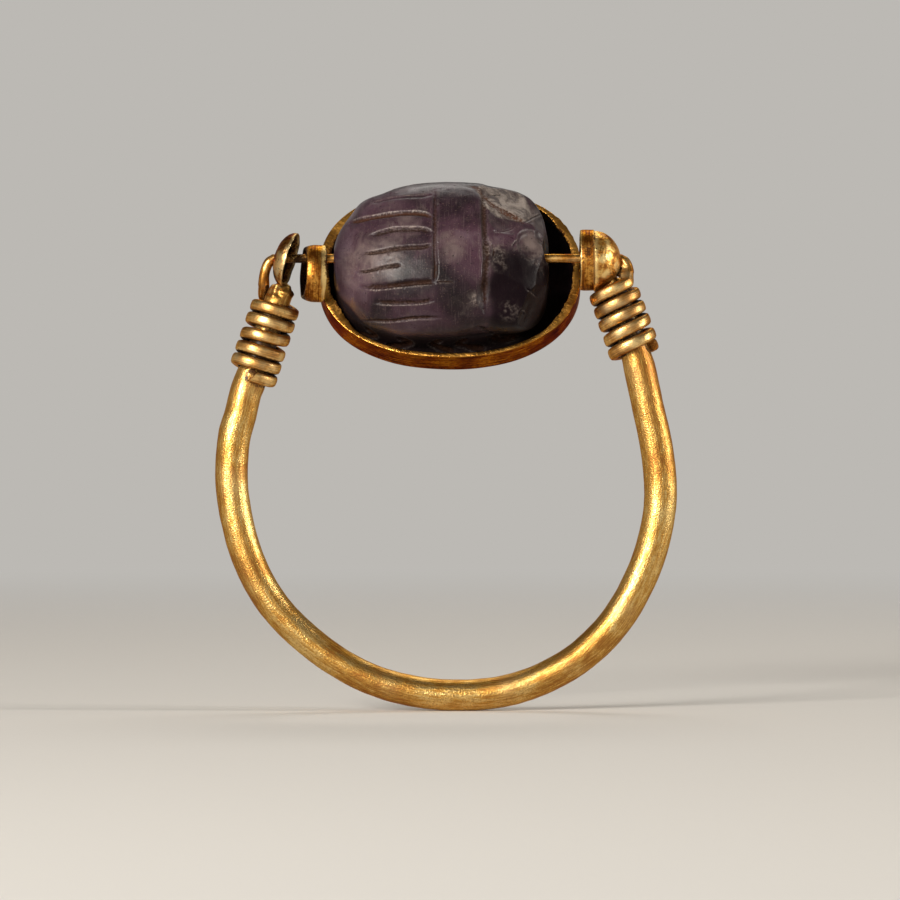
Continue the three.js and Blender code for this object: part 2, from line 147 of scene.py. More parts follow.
def outward(piece):
    edit(piece)
    bpy.ops.mesh.remove_doubles(threshold=0.0005)
    bpy.ops.mesh.normals_make_consistent(inside=False)
    leaveEdit()


def drawProfile(places):
    # one vertex, extruded from place to place
    deselectAll()
    bpy.ops.mesh.primitive_plane_add(size=1)
    piece = bpy.context.object
    edit(piece)
    bpy.ops.mesh.merge(type="CENTER")
    bpy.ops.transform.translate(value=places[0])
    for before, after in zip(places, places[1:]):
        bpy.ops.mesh.extrude_region_move(TRANSFORM_OT_translate={"value": Vector(after) - Vector(before)})
    leaveEdit()
    return piece


def finishPiece(piece, name, body, node, material, smoothAngle):
    # to metres in the shared frame, with its place in its mesh
    piece.name = piece.data.name = name
    start, tilt = (pivotPoint, bezelTilt) if body == "bezel" else (hoopPlane, 0)
    piece.matrix_world = Matrix.Translation(start) @ Matrix.Rotation(tilt, 4, "X") @ Matrix.Scale(mm, 4)
    pick(piece)
    bpy.ops.object.transform_apply(location=True, rotation=True, scale=True)
    bpy.ops.object.shade_smooth_by_angle(angle=math.radians(smoothAngle))
    piece.data.materials.clear()
    piece.data.materials.append(material)
    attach(piece, body)
    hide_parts(node)
    print("made", name, len(piece.data.polygons))


# Helpers: materials

def hexColour(code):
    parts = [int(code[i:i + 2], 16) / 255 for i in (1, 3, 5)]
    return [c / 12.92 if c <= 0.04045 else ((c + 0.055) / 1.055) ** 2.4 for c in parts] + [1]


def setInputs(tree, node, links):
    # an input's name or number, with a value, a hex colour or another node's output
    for key, value in links.items():
        if isinstance(value, bpy.types.NodeSocket):
            tree.links.new(value, node.inputs[key])
        else:
            node.inputs[key].default_value = hexColour(value) if isinstance(value, str) else value


def addNode(tree, kind, links, output=0, stops=(), **settings):
    node = tree.nodes.new("ShaderNode" + kind)
    for name, value in settings.items():
        setattr(node, name, value)
    setInputs(tree, node, links)
    if stops:
        ramp = node.color_ramp.elements
        while len(ramp) < len(stops):
            ramp.new(0.5)
        for element, (place, colour) in zip(ramp, stops):
            element.position = place
            element.color = hexColour(colour)
    return node.outputs[output]


def newMaterial(name):
    material = bpy.data.materials.new(name)
    material.use_nodes = True
    return material, material.node_tree, material.node_tree.nodes["Principled BSDF"]


# Gold: a high-carat alloy, soft and warm. A thin film from handling pales its highlights, and seen at a slant
# it stays amber. Each piece differs in how it was worked: streaks lie the way it was drawn, rolled or rubbed,
# and soil ends in a ragged edge of grit. Real grit is too fine to show, so it is drawn at about 0.1 mm.

gold = {"toneSpread": (0.76, 1.24), "fleckSpread": (0.48, 0.62), "pitWidth": 0.07, "gritShare": 0.9,
        "soilEdge": (1.40, 1.80), "satinSpread": (0.75, 1.25), "soilRough": 0.8, "soilMetal": 0.1,
        "soilBump": 0.9, "scratchMm": 0.02, "dimpleMm": 0.04, "specular": 0.2, "filmRough": 0.34}


def goldMaterial(name, look):
    material, tree, shader = newMaterial(name)
    place = addNode(tree, "Attribute", {}, "Vector", attribute_name="workPlace")
    soil, wear = [addNode(tree, "Attribute", {}, "Fac", attribute_name=layer) for layer in ("soil", "wear")]
    along, across = look["streakMm"]
    stretched = addNode(tree, "Mapping", {"Vector": place, "Scale": (1 / along, 1 / across, 1 / across)})
    streaks, clouds, grit = [
        addNode(tree, "TexNoise", {"Vector": where, "Scale": 1 / size, "Detail": detail, "Roughness": rough})
        for where, size, detail, rough in (
            (stretched, 1, 5, 0.62), (place, look["cloudMm"], 4, 0.6), (place, look["gritMm"], 2, 0.5))]
    tone = addNode(tree, "Math", {0: streaks, 1: clouds}, operation="ADD")
    ragged = addNode(tree, "Math", {0: grit, 1: gold["gritShare"], 2: soil}, operation="MULTIPLY_ADD")
    ragged = addNode(tree, "Math", {0: ragged, 1: clouds}, operation="ADD")
    spread, flecks, pits, covered, satin = [
        addNode(tree, "MapRange", {0: source, 1: reach[0], 2: reach[1], 3: least, 4: most},
                interpolation_type="SMOOTHSTEP")
        for source, reach, least, most in (
            (tone, gold["toneSpread"], 0, 1), (grit, gold["fleckSpread"], 0, look["fleck"]),
            (grit, (look["pitFrom"], look["pitFrom"] + gold["pitWidth"]), 0, 1),
            (ragged, gold["soilEdge"], 0, 1), (tone, gold["satinSpread"], look["rough"][1], look["rough"][0]))]
    metal, bump = [
        addNode(tree, "MapRange", {0: covered, 3: bare, 4: caked}, interpolation_type="SMOOTHSTEP")
        for bare, caked in ((1, gold["soilMetal"]), (look["dimple"], gold["soilBump"]))]
    colour = addNode(tree, "ValToRGB", {0: spread}, stops=(
        (0, look["deep"]), (0.45, look["main"]), (1, look["light"])))
    earth = addNode(tree, "ValToRGB", {0: grit}, stops=((0.38, look["soilDark"]), (0.66, look["soilLight"])))
    for factor, layer in ((flecks, look["deep"]), (wear, look["worn"]), (pits, look["pit"]), (covered, earth)):
        colour = addNode(tree, "Mix", {0: factor, 6: colour, 7: layer}, 2, data_type="RGBA")
    scratches = addNode(tree, "Bump", {
        "Strength": look["scratch"], "Distance": gold["scratchMm"] * mm, "Height": streaks})
    dimples = addNode(tree, "Bump", {
        "Strength": bump, "Distance": gold["dimpleMm"] * mm, "Height": grit, "Normal": scratches})
    setInputs(tree, shader, {
        "Base Color": colour, "Metallic": metal, "Normal": dimples,
        "Roughness": addNode(tree, "Mix", {0: covered, 2: satin, 3: gold["soilRough"]}),
        "Specular IOR Level": gold["specular"], "Specular Tint": look["slant"],
        "Coat Weight": look["film"], "Coat Roughness": gold["filmRough"]})
    return material


# Camera: level with the middle of the ring, straight at its face, from far off

view = {"field": 50.56, "lens": 200, "sensor": 36, "aimX": 0.225, "aimZ": -0.169, "pixels": 900}
distance = view["field"] * mm * view["lens"] / view["sensor"]
deselectAll()
bpy.ops.object.camera_add(location=(view["aimX"] * mm, hoopPlane.y - distance, view["aimZ"] * mm),
                          rotation=(math.radians(90), 0, 0))
camera = bpy.context.object
camera.name = "camera"
camera.data.lens = view["lens"]
camera.data.sensor_width = view["sensor"]
bpy.context.scene.camera = camera
bpy.context.scene.view_settings.view_transform = "Standard"
print("camera placed")


# Shoulders of the hoop and the winding on each, laid as the solids have them

shoulders = {
    "left": {"start": Vector((-9.47, 0, 8.20)), "lean": 18.76, "radius": 0.73, "angle": 225, "turns": 5.61,
             "pitch": 0.745, "level": 0.75, "opening": 0.20, "openingTurn": 2.1, "tuck": (0.05, 0.00)},
    "right": {"start": Vector((9.34, 0, 8.90)), "lean": -19.87, "radius": 0.77, "angle": 40, "turns": 4.93,
              "pitch": 0.77, "level": 0.10, "opening": 0.12, "openingTurn": 2.7, "tuck": (0.12, 0.16)},
}
wire = {"pivotRadius": 0.25, "coilRadius": 0.32, "swell": 0.022, "clearance": 0.05, "stepsPerTurn": 48,
        "sides": 16, "shoulderGrowth": 0.07, "loopSteps": 10, "pivotSteps": 30, "endCut": 0.6, "tuckTurns": 0.2,
        "flatFrom": 0.225, "flat": 0.62, "sway": (0.9, 6, 0.012), "rubFrom": (0.16, 0.30), "rub": (0.12, 0.25),
        "rubPatch": (0.5, 4, 0.0, 0.5), "pale": 0.4, "palePatch": (0.7, 5, 0.1, 0.7)}
# soil on the wire: towards the shoulder, soil and painted shade between turns by their distance, and caked on
# the straight stretch
wireSoil = {"face": (-0.05, 0.24), "between": (-0.66, -0.44), "cake": 0.75, "cakeLumps": (0.5, 7, 0.5),
            "cakeAlong": [((-9.6, -9.0), (6.4, 7.2)), ((7.2, 7.5), (-9.9, -9.6))],
            # the right loop is filled: its height, from where to the right, how far inside and how deep
            "loopUp": (9.35, 9.65), "loopDown": (-10.50, -10.25), "loopFrom": 9.70, "loopInside": (0.12, 0.26),
            "loopDeep": 0.34, "shares": (0.9, 0.95, 1, 1.2), "endShare": 0.25}


def easeShare(value):
    return float(smoothStep(value))


def coilDrop(coil, turn):
    # how far down the shoulder the winding is after so many turns
    start = math.radians(coil["angle"])
    level = coil["level"] * (math.cos(start + math.tau * turn) - math.cos(start)) / math.tau
    return coil["pitch"] * (turn + level) + coil["opening"] * easeShare(turn - coil["openingTurn"])


def coilAxes(coil):
    lean = math.radians(coil["lean"])
    return Vector((math.sin(lean), 0, math.cos(lean))), Vector((math.cos(lean), 0, -math.sin(lean)))


def coilPoints(coil):
    up, side = coilAxes(coil)
    length = coilDrop(coil, coil["turns"])
    count = round(coil["turns"] * wire["stepsPerTurn"])
    route = []
    for i in range(count + 1):
        turn = coil["turns"] * i / count
        angle = math.radians(coil["angle"]) + math.tau * turn
        drop = coilDrop(coil, turn)
        reach = coil["radius"] + wire["shoulderGrowth"] * drop / length + wire["clearance"] + wire["coilRadius"]
        tucked = easeShare((turn - coil["turns"]) / wire["tuckTurns"] + 1)
        reach -= coil["tuck"][0] * tucked
        drop -= coil["tuck"][1] * tucked
        route.append(coil["start"] - up * drop + side * (reach * math.cos(angle))
                     + Vector((0, -reach * math.sin(angle), 0)))
    return route


def smoothRoute(stations, steps):
    # a centripetal curve through the stations, each a point with a radius behind it
    places = [station[0] for station in stations]
    places = [2 * places[0] - places[1]] + places + [2 * places[-1] - places[-2]]
    route, radii = [], []
    for i, (before, after) in enumerate(zip(stations, stations[1:])):
        knots = [0]
        for a, b in zip(places[i:i + 3], places[i + 1:i + 4]):
            knots.append(knots[-1] + max(1e-4, (b - a).length) ** 0.5)
        for share in np.arange(steps) / steps:
            t = float(knots[1] + (knots[2] - knots[1]) * share)
            row = places[i:i + 4]
            for spans in (((0, 1), (1, 2), (2, 3)), ((0, 2), (1, 3)), ((1, 2),)):
                row = [a * ((knots[high] - t) / (knots[high] - knots[low]))
                       + b * ((t - knots[low]) / (knots[high] - knots[low]))
                       for a, b, (low, high) in zip(row, row[1:], spans)]
            route.append(row[0])
            radii.append(before[1] + (after[1] - before[1]) * share)
    return route + [stations[-1][0]], radii + [stations[-1][1]]


def makeRod(route, radii, sides):
    # a bevelled path made a mesh, whose points lie ring after ring
    deselectAll()
    bpy.ops.curve.primitive_nurbs_path_add()
    path = bpy.context.object.data
    path.splines.clear()
    spline = path.splines.new("POLY")
    spline.points.add(len(route) - 1)
    for point, place, radius in zip(spline.points, route, radii):
        point.co = (*place, 1)
        point.radius = radius
    path.dimensions = "3D"
    path.twist_mode = "MINIMUM"
    path.bevel_depth = 1
    path.bevel_resolution = (sides - 4) // 2
    bpy.context.object.location = (0, 0, 0)
    pick(bpy.context.object)
    bpy.ops.object.convert(target="MESH")
    rod = bpy.context.object
    sides = len(rod.data.vertices) // len(route)
    # a place that follows the rod: its length in mm, then across it, so streaks run along it
    steps = np.cumsum([0] + [(b - a).length for a, b in zip(route, route[1:])])
    angle = np.tile(np.arange(sides) * math.tau / sides, len(route))
    reach = lengths(points(rod) - np.repeat([list(p) for p in route], sides, axis=0))
    paint(rod, workPlace=np.stack(
        [np.repeat(steps, sides), reach * np.cos(angle), reach * np.sin(angle)], axis=1))
    return rod, sides


def closeEnds(rod):
    edit(rod, "DESELECT", "EDGE")
    bpy.ops.mesh.select_non_manifold()
    bpy.ops.mesh.fill_holes(sides=0)
    leaveEdit()
    outward(rod)


def gapTo(route, places):
    tree = kdtree.KDTree(len(route))
    for i, place in enumerate(route):
        tree.insert(place, i)
    tree.balance()
    return np.array([tree.find(place)[2] for place in places])


# Shank: a drawn rod, hammered round and burnished, thinner inside the windings and at the necks

shank = {"halfWidth": 12.04, "drop": 13.94, "radius": 0.92, "sides": 48, "steps": 14,
         "shoulderStops": (0, 0.5, 1),
         "leftEnd": [((-9.04, 0, 9.18), 0.12), ((-9.07, 0, 9.09), 0.36), ((-9.13, 0, 8.94), 0.56),
                     ((-9.24, 0, 8.70), 0.68)],
         "underLeft": [((-10.86, 0, 4.16), 0.875), ((-11.06, 0, 3.58), 0.92)],
         "underRight": [((10.87, 0, 4.46), 0.90)],
         "rightEnd": [((9.14, 0, 9.30), 0.62), ((9.08, 0, 9.55), 0.42), ((9.06, 0, 9.66), 0.12)],
         "dents": ((1.6, 1, 0.018), (0.5, 2, 0.012)), "knots": (0.36, 8, 0.17), "knotFrom": (8.25, 8.55),
         "soil": 0.82, "soilLumps": (0.4, 9, 0.3), "soilNear": (-0.63, -0.54), "rub": 0.2,
         "rubPatch": (2.2, 3, 0.1, 0.9)}
hoopShares = [  # along the width and the height, with the thickness
    (-0.934, 0.221, 0.98), (-0.958, 0.133, 0.99), (-0.988, 0.040, 1.00), (-1.000, -0.143, 0.99),
    (-0.968, -0.322, 0.99), (-0.904, -0.490, 0.98), (-0.800, -0.642, 0.96), (-0.659, -0.767, 0.95),
    (-0.498, -0.870, 0.94), (-0.321, -0.945, 0.94), (-0.130, -0.987, 0.95), (0.066, -1.000, 0.95),
    (0.267, -0.985, 0.96), (0.462, -0.929, 0.97), (0.640, -0.836, 0.99), (0.787, -0.707, 1.00),
    (0.895, -0.552, 1.00), (0.968, -0.383, 1.00), (1.000, -0.204, 1.00), (0.986, -0.023, 1.00),
    (0.943, 0.158, 0.98)]

# drawn and burnished gold rod: warm satin with long fine scratches, amber where it is less rubbed
rodGold = goldMaterial("burnishedGoldRod", {
    "deep": "#9E682A", "main": "#C99948", "light": "#E6C47C", "worn": "#F8E2A8", "pit": "#5E3A14",
    "soilDark": "#140B06", "soilLight": "#55341A", "slant": "#CC9A5C", "streakMm": (0.9, 0.09), "cloudMm": 2.6,
    "gritMm": 0.09, "pitFrom": 0.72, "rough": (0.29, 0.44), "scratch": 0.6, "dimple": 0.60, "fleck": 0.50,
    "film": 0.25})


def shoulderStations(side):
    coil = shoulders[side]
    up, _ = coilAxes(coil)
    length = coilDrop(coil, coil["turns"])
    return [(coil["start"] - up * (length * share), coil["radius"] + wire["shoulderGrowth"] * share)
            for share in shank["shoulderStops"]]


def makeShank():
    hoop = [((x * shank["halfWidth"], 0, z * shank["drop"]), thick * shank["radius"])
            for x, z, thick in hoopShares]
    stations = (shank["leftEnd"] + shoulderStations("left") + shank["underLeft"] + hoop + shank["underRight"]
                + shoulderStations("right")[::-1] + shank["rightEnd"])
    rod, sides = makeRod(*smoothRoute([(Vector(place), radius) for place, radius in stations], shank["steps"]),
                         shank["sides"])
    places = points(rod)
    # solder stands in lumps at the ends, and soil with painted shade lies under and between the windings
    lean = relief(places, *shank["dents"])
    lean += smoothStep(places[:, 2], *shank["knotFrom"]) * relief(places, shank["knots"])
    near = gapTo([point for coil in shoulders.values() for point in coilPoints(coil)], places)
    soil = shank["soil"] + relief(places, shank["soilLumps"])
    paint(rod, soil=smoothStep(-near, *shank["soilNear"]) * soil,
          wear=patches(places, shank["rubPatch"]) * shank["rub"])
    setPoints(rod, places + points(rod, "normal") * lean[:, None])
    closeEnds(rod)
    finishPiece(rod, "bentShank", "hoop", "hoop_shank", rodGold, 60)


makeShank()


# Wire: one length, wound up the left shoulder, through the cups, collars and stone, and down the right one

# drawn gold wire: paler and smoother than the rod, with brown soil on its inner side, painted shade between the
# turns and a painted highlight rubbed onto their outer faces
wireGold = goldMaterial("drawnGoldWire", {
    "deep": "#764614", "main": "#C28434", "light": "#EFC47A", "worn": "#FBE2A8", "pit": "#643E16",
    "soilDark": "#180D06", "soilLight": "#452911", "slant": "#BC864A", "streakMm": (1.8, 0.08), "cloudMm": 0.8,
    "gritMm": 0.10, "pitFrom": 0.76, "rough": (0.33, 0.47), "scratch": 0.30, "dimple": 0.30, "fleck": 0.45,
    "film": 0.12})

loops = {  # from the pivot's end to the winding's start, as shares of the way between them
    "left": {"end": (-9.68, 0, pivotHeight), "radius": 0.285,
             "shares": [(0, 0, 0), (0.551, 0, 0.122), (0.951, 0.077, 0.369), (1.065, 0.283, 0.650)]},
    "right": {"end": (9.80, 0, pivotHeight), "radius": 0.30,
              "shares": [(0, 0, 0), (0.80, 0.050, 0.180), (1.23, 0.220, 0.465), (1.19, 0.580, 0.748)]},
}


def loopRoute(loop, winding):
    end = Vector(loop["end"])
    way = winding[0] - end
    stations = [Vector([end[i] + share[i] * way[i] for i in range(3)]) for share in loop["shares"]]
    route, _ = smoothRoute([(p, 0) for p in stations + [winding[0], winding[4]]], wire["loopSteps"])
    return route[:len(stations) * wire["loopSteps"]]


def windingMarks(places, centres):
    # where the turns face the shoulder and their outer faces, rubbed paler as wear and painted highlight, and
    # flattens them outside
    inward, rubbed = np.zeros(len(places)), np.zeros(len(places))
    for coil in shoulders.values():
        start, up = np.array(coil["start"]), np.array(coilAxes(coil)[0])
        toAxis, centreToAxis = [
            start + ((where - start) @ up)[:, None] * up - where for where in (places, centres)]
        nearer = lengths(toAxis) - lengths(centreToAxis)
        ours = (places[:, 0] * start[0] > 0) & (places[:, 2] < start[2] + 0.9)
        inward = np.where(ours, smoothStep(-nearer, *wireSoil["face"]), inward)
        rubbed = np.where(ours, smoothStep(nearer, *wire["rubFrom"]), rubbed)
        over = np.where(ours, np.maximum(0, nearer - wire["flatFrom"]), 0) * wire["flat"]
        places += toAxis * (over / lengths(toAxis))[:, None]
    return inward, rubbed


def betweenTurns(places, centres, windings):
    # how near each place lies to a turn beside its own, for soil and painted shade between the turns
    between = np.zeros(len(places))
    loop = wire["stepsPerTurn"]
    for turns in windings.values():
        for start in range(0, len(turns), loop // 2):
            others = [p for i, p in enumerate(turns) if not start - loop // 2 < i < start + loop]
            ours = gapTo(turns[start:start + loop // 2 + 1], centres) < 1e-4
            if others and ours.any():
                near = smoothStep(-gapTo(others, places[ours]), *wireSoil["between"])
                between[ours] = np.maximum(between[ours], near)
    return between


def makeWire():
    windings = {side: coilPoints(coil) for side, coil in shoulders.items()}
    ways = {side: loopRoute(loops[side], windings[side]) for side in loops}
    count = wire["pivotSteps"]
    straight = [ways["left"][0].lerp(ways["right"][0], i / count) for i in range(1, count)]
    wound, thin = wire["coilRadius"] + wire["swell"], wire["pivotRadius"]
    grow = {}
    for side, way in ways.items():
        bend = loops[side]["radius"]
        grow[side] = [thin + (bend - thin) * easeShare(5 * i / len(way))
                      + (wound - bend) * easeShare(2 * i / len(way) - 1) for i in range(len(way))]
    route = windings["left"][::-1] + ways["left"][::-1] + straight + ways["right"] + windings["right"]
    radii = ([wound] * len(windings["left"]) + grow["left"][::-1] + [thin] * len(straight)
             + grow["right"] + [wound] * len(windings["right"]))
    rod, sides = makeRod(route, radii, wire["sides"])
    places = points(rod)
    centres = np.repeat([list(p) for p in route], sides, axis=0)
    inward, rubbed = windingMarks(places, centres)
    between = betweenTurns(places, centres, windings)
    x, _, z = places.T
    caked = sum(smoothStep(x, *start) * smoothStep(-x, *end) for start, end in wireSoil["cakeAlong"])
    caked *= (np.abs(z - pivotHeight) < 0.5) * (wireSoil["cake"] + relief(places, wireSoil["cakeLumps"]))
    wear = patches(places, wire["palePatch"]) * wire["pale"] + rubbed * (
        wire["rub"][0] + wire["rub"][1] * patches(places, wire["rubPatch"]))
    filled = smoothStep(z, *wireSoil["loopUp"]) * smoothStep(-z, *wireSoil["loopDown"]) * (
        x > wireSoil["loopFrom"]) * smoothStep(centres[:, 0] - x, *wireSoil["loopInside"])
    places[:, 0] -= filled * wireSoil["loopDeep"]
    soils = [share * part for share, part in zip(wireSoil["shares"], (inward, between, caked, filled))]
    soil = np.clip(np.max(soils, axis=0), 0, 1)
    soil[-4 * sides:] *= wireSoil["endShare"]
    paint(rod, wear=wear, soil=soil)
    # the two ends were snipped off aslant
    for ring, way in ((0, route[1] - route[0]), (len(route) - 1, route[-1] - route[-2])):
        for i in range(ring * sides, (ring + 1) * sides):
            lift = (Vector(places[i]) - route[ring]).dot(Vector((0.3, 0, 0.95)))
            places[i] += np.array(way.normalized()) * lift * wire["endCut"]
    setPoints(rod, places + points(rod, "normal") * relief(places, wire["sway"])[:, None])
    closeEnds(rod)
    finishPiece(rod, "woundPivotWire", "hoop", "pivot_wire", wireGold, 50)


makeWire()


# Cups: dished from thin sheet, soldered on the ends of the shank

# the right cup is rubbed paler in patches than the left: wear and painted highlight
cups = {
    "left": {"radius": 1.57, "depth": 0.90, "place": (-8.74, 0, pivotHeight - 0.10), "turn": (0, 16, -8),
             "facing": 1, "dents": ((0.7, 11, 0.035), (0.18, 14, 0.016)), "rimWave": (0.6, 11, 0.025),
             "stain": 0.34, "rub": 0.45, "rubPatch": (0.6, 11, 0.10, 0.45)},
    "right": {"radius": 1.71, "depth": 1.49, "place": (8.34, 0, pivotHeight - 0.17), "turn": (0, 0, 0),
              "facing": -1, "dents": ((0.7, 12, 0.035), (0.18, 15, 0.016)), "rimWave": (0.6, 12, 0.025),
              "stain": 0.0, "rub": 0.8, "rubPatch": (0.6, 12, 0.10, 0.45)},
}
# spans are shares of the depth or the radius, from where a mark starts to where it is full
cupSheet = {"wall": 0.17, "rimWall": 0.09, "rings": 34, "steps": 120, "hollow": (0.985, 0.90),
            "rimSpan": (0.16, 0.02), "rimShine": 0.7, "stainSpan": (0.22, 0.5), "stain": 0.85,
            "stainLumps": (0.5, 14, 0.6), "pitSpan": (0.3, 0.7), "pitSide": (0.25, 0.75), "pit": 0.72,
            "pitLumps": (0.25, 13, 0.7)}

# dished gold sheet: mottled by solder, pale where it was rubbed, with a painted highlight on the rim, and brown
# in the hollow with painted shade
cupGold = goldMaterial("dishedGoldSheet", {
    "deep": "#7C4614", "main": "#CC903C", "light": "#F2C874", "worn": "#FBDC94", "pit": "#54320F",
    "soilDark": "#100905", "soilLight": "#3A200C", "slant": "#D8A464", "streakMm": (0.5, 0.25), "cloudMm": 0.55,
    "gritMm": 0.12, "pitFrom": 0.68, "rough": (0.34, 0.52), "scratch": 0.6, "dimple": 0.75, "fleck": 0.45,
    "film": 0.3})

# a darker copy of the same sheet: painted shade on the left cup, which the light leaves dark
tarnishedGold = goldMaterial("tarnishedGoldSheet", {
    "deep": "#4A2408", "main": "#94602A", "light": "#C8924A", "worn": "#FCE2A6", "pit": "#3A2009",
    "soilDark": "#0C0704", "soilLight": "#241308", "slant": "#966636", "streakMm": (0.5, 0.25), "cloudMm": 0.55,
    "gritMm": 0.12, "pitFrom": 0.66, "rough": (0.30, 0.46), "scratch": 0.6, "dimple": 0.75, "fleck": 0.55,
    "film": 0.12})


def makeCup(side):
    cup = cups[side]
    thick, thin = cupSheet["wall"], cupSheet["rimWall"]
    # a quarter arc out to the rim and back inside, spun round the axis
    outer, inner = [], []
    for i in range(cupSheet["rings"] + 1):
        share = i / cupSheet["rings"]
        c, s = math.cos(math.pi / 2 * share), math.sin(math.pi / 2 * share)
        wall = thick + (thin - thick) * easeShare(share)
        outer.append((-cup["depth"] * c, cup["radius"] * s, 0))
        inner.append(((wall - cup["depth"]) * c, (cup["radius"] - wall) * s, 0))
    piece = drawProfile(outer + [(thin * 0.35, cup["radius"] - thin / 2, 0)] + inner[::-1])
    edit(piece)
    bpy.ops.mesh.spin(steps=cupSheet["steps"], angle=math.tau, center=(0, 0, 0), axis=(1, 0, 0))
    leaveEdit()
    outward(piece)
    places = points(piece)
    x, y, z = places.T
    radius, angle = np.hypot(y, z), np.arctan2(z, y)
    depthShare = -x / cup["depth"]
    # the hollow side keeps soil and painted shade, the rim is painted bright: rubbed wear and a painted
    # highlight
    hollow = smoothStep(np.hypot(depthShare, radius / cup["radius"]), *cupSheet["hollow"])
    stained = cup["stain"] * smoothStep(depthShare, *cupSheet["stainSpan"]) * (
        cupSheet["stain"] + relief(places, cupSheet["stainLumps"]))
    pitted = smoothStep(-z / cup["radius"], *cupSheet["pitSide"]) * smoothStep(
        depthShare, *cupSheet["pitSpan"]) * (cupSheet["pit"] + relief(places, cupSheet["pitLumps"]))
    paint(piece, workPlace=places, soil=hollow + (stained + pitted) * (1 - hollow),
          wear=smoothStep(depthShare, *cupSheet["rimSpan"]) * cupSheet["rimShine"]
          + patches(places, cup["rubPatch"]) * cup["rub"])
    dents = relief(places, *cup["dents"]) * smoothStep(radius, 0.1, 0.8)
    away = np.stack([x * 0 + 1, y / np.maximum(radius, 0.01), z / np.maximum(radius, 0.01)], axis=1)
    moved = places + away * dents[:, None]
    around = np.stack([np.cos(angle), np.sin(angle), angle * 0], axis=1)
    moved[:, 0] += relief(around, cup["rimWave"]) * smoothStep(depthShare, 0.3, 0.0)
    moved *= (cup["facing"], cup["facing"], 1)
    turn = Euler([math.radians(part) for part in cup["turn"]], "ZYX").to_matrix()
    setPoints(piece, moved @ np.array(turn).T + cup["place"])
    outward(piece)
    finishPiece(piece, side + "DishedCup", "hoop", side + "_cup_terminal",
                tarnishedGold if side == "left" else cupGold, 50)


for side in cups:
    makeCup(side)


# Bezel, in a frame of its own: x along the pivot, z out of the scarab's back, pivot at z = 0

bezel = {"half": (7.40, 5.58), "centre": (0.22, 0.13), "powers": (2.4, 2.22), "rim": -1.64, "height": 1.42,
         "wall": 0.25, "plateGap": 0.05}
bezel["base"] = bezel["rim"] - bezel["height"]


def ovalPoint(oval, angle, inset=0):
    c, s = math.cos(angle), math.sin(angle)
    power = 2 / oval["powers"][0 if s > 0 else 1]
    return (oval["centre"][0] + (oval["half"][0] - inset) * math.copysign(abs(c) ** power, c),
            oval["centre"][1] + (oval["half"][1] - inset) * math.copysign(abs(s) ** power, s))


def addOval(oval, steps, inset, bottom, height, rows=1, fill="NGON"):
    # an oval raised row by row: a block where it is filled, or else a strip
    deselectAll()
    bpy.ops.mesh.primitive_circle_add(vertices=steps, radius=1, fill_type=fill)
    piece = bpy.context.object
    setPoints(piece, [(*ovalPoint(oval, math.tau * i / steps, inset), bottom) for i in range(steps)])
    edit(piece)
    for _ in range(rows):
        bpy.ops.mesh.extrude_region_move(TRANSFORM_OT_translate={"value": (0, 0, height / rows)})
    leaveEdit()
    outward(piece)
    return piece


band = {"steps": 240, "rows": 10, "edge": 0.045, "wave": (2.2, 23, 0.03), "crumple": (0.26, 24, 0.045),
        "crumpleFrom": (4.2, 6.2), "lips": (0.32, 0.22), "endFrom": (5.0, 6.6), "lipLumps": (0.24, 28, 0.35),
        "rimWave": (1.4, 25, 0.035), "rimDents": (0.35, 26, 0.05), "soil": 1.1, "endSoil": (0.80, 0.62),
        "outerSoil": 0.15, "soilPatch": (0.9, 21, 0.15, 0.7), "rimSpan": (0.955, 1.0), "rimShine": (0.4, 0.6),
        "rimPatch": (1.1, 27, -0.45, 0.15), "rub": 0.08, "rubPatch": (0.7, 22, 0.3, 0.6)}

# bent gold strip: deep amber, partly painted shade, rubbed bright along the rim, with soil against the stone
bandGold = goldMaterial("bentGoldStrip", {
    "deep": "#3E1C03", "main": "#7A430B", "light": "#B4742A", "worn": "#F2B052", "pit": "#3A1E08",
    "soilDark": "#140B06", "soilLight": "#45250F", "slant": "#B4824A", "streakMm": (2.4, 0.10), "cloudMm": 1.8,
    "gritMm": 0.14, "pitFrom": 0.76, "rough": (0.24, 0.40), "scratch": 0.35, "dimple": 1.0, "fleck": 0.45,
    "film": 0.05})


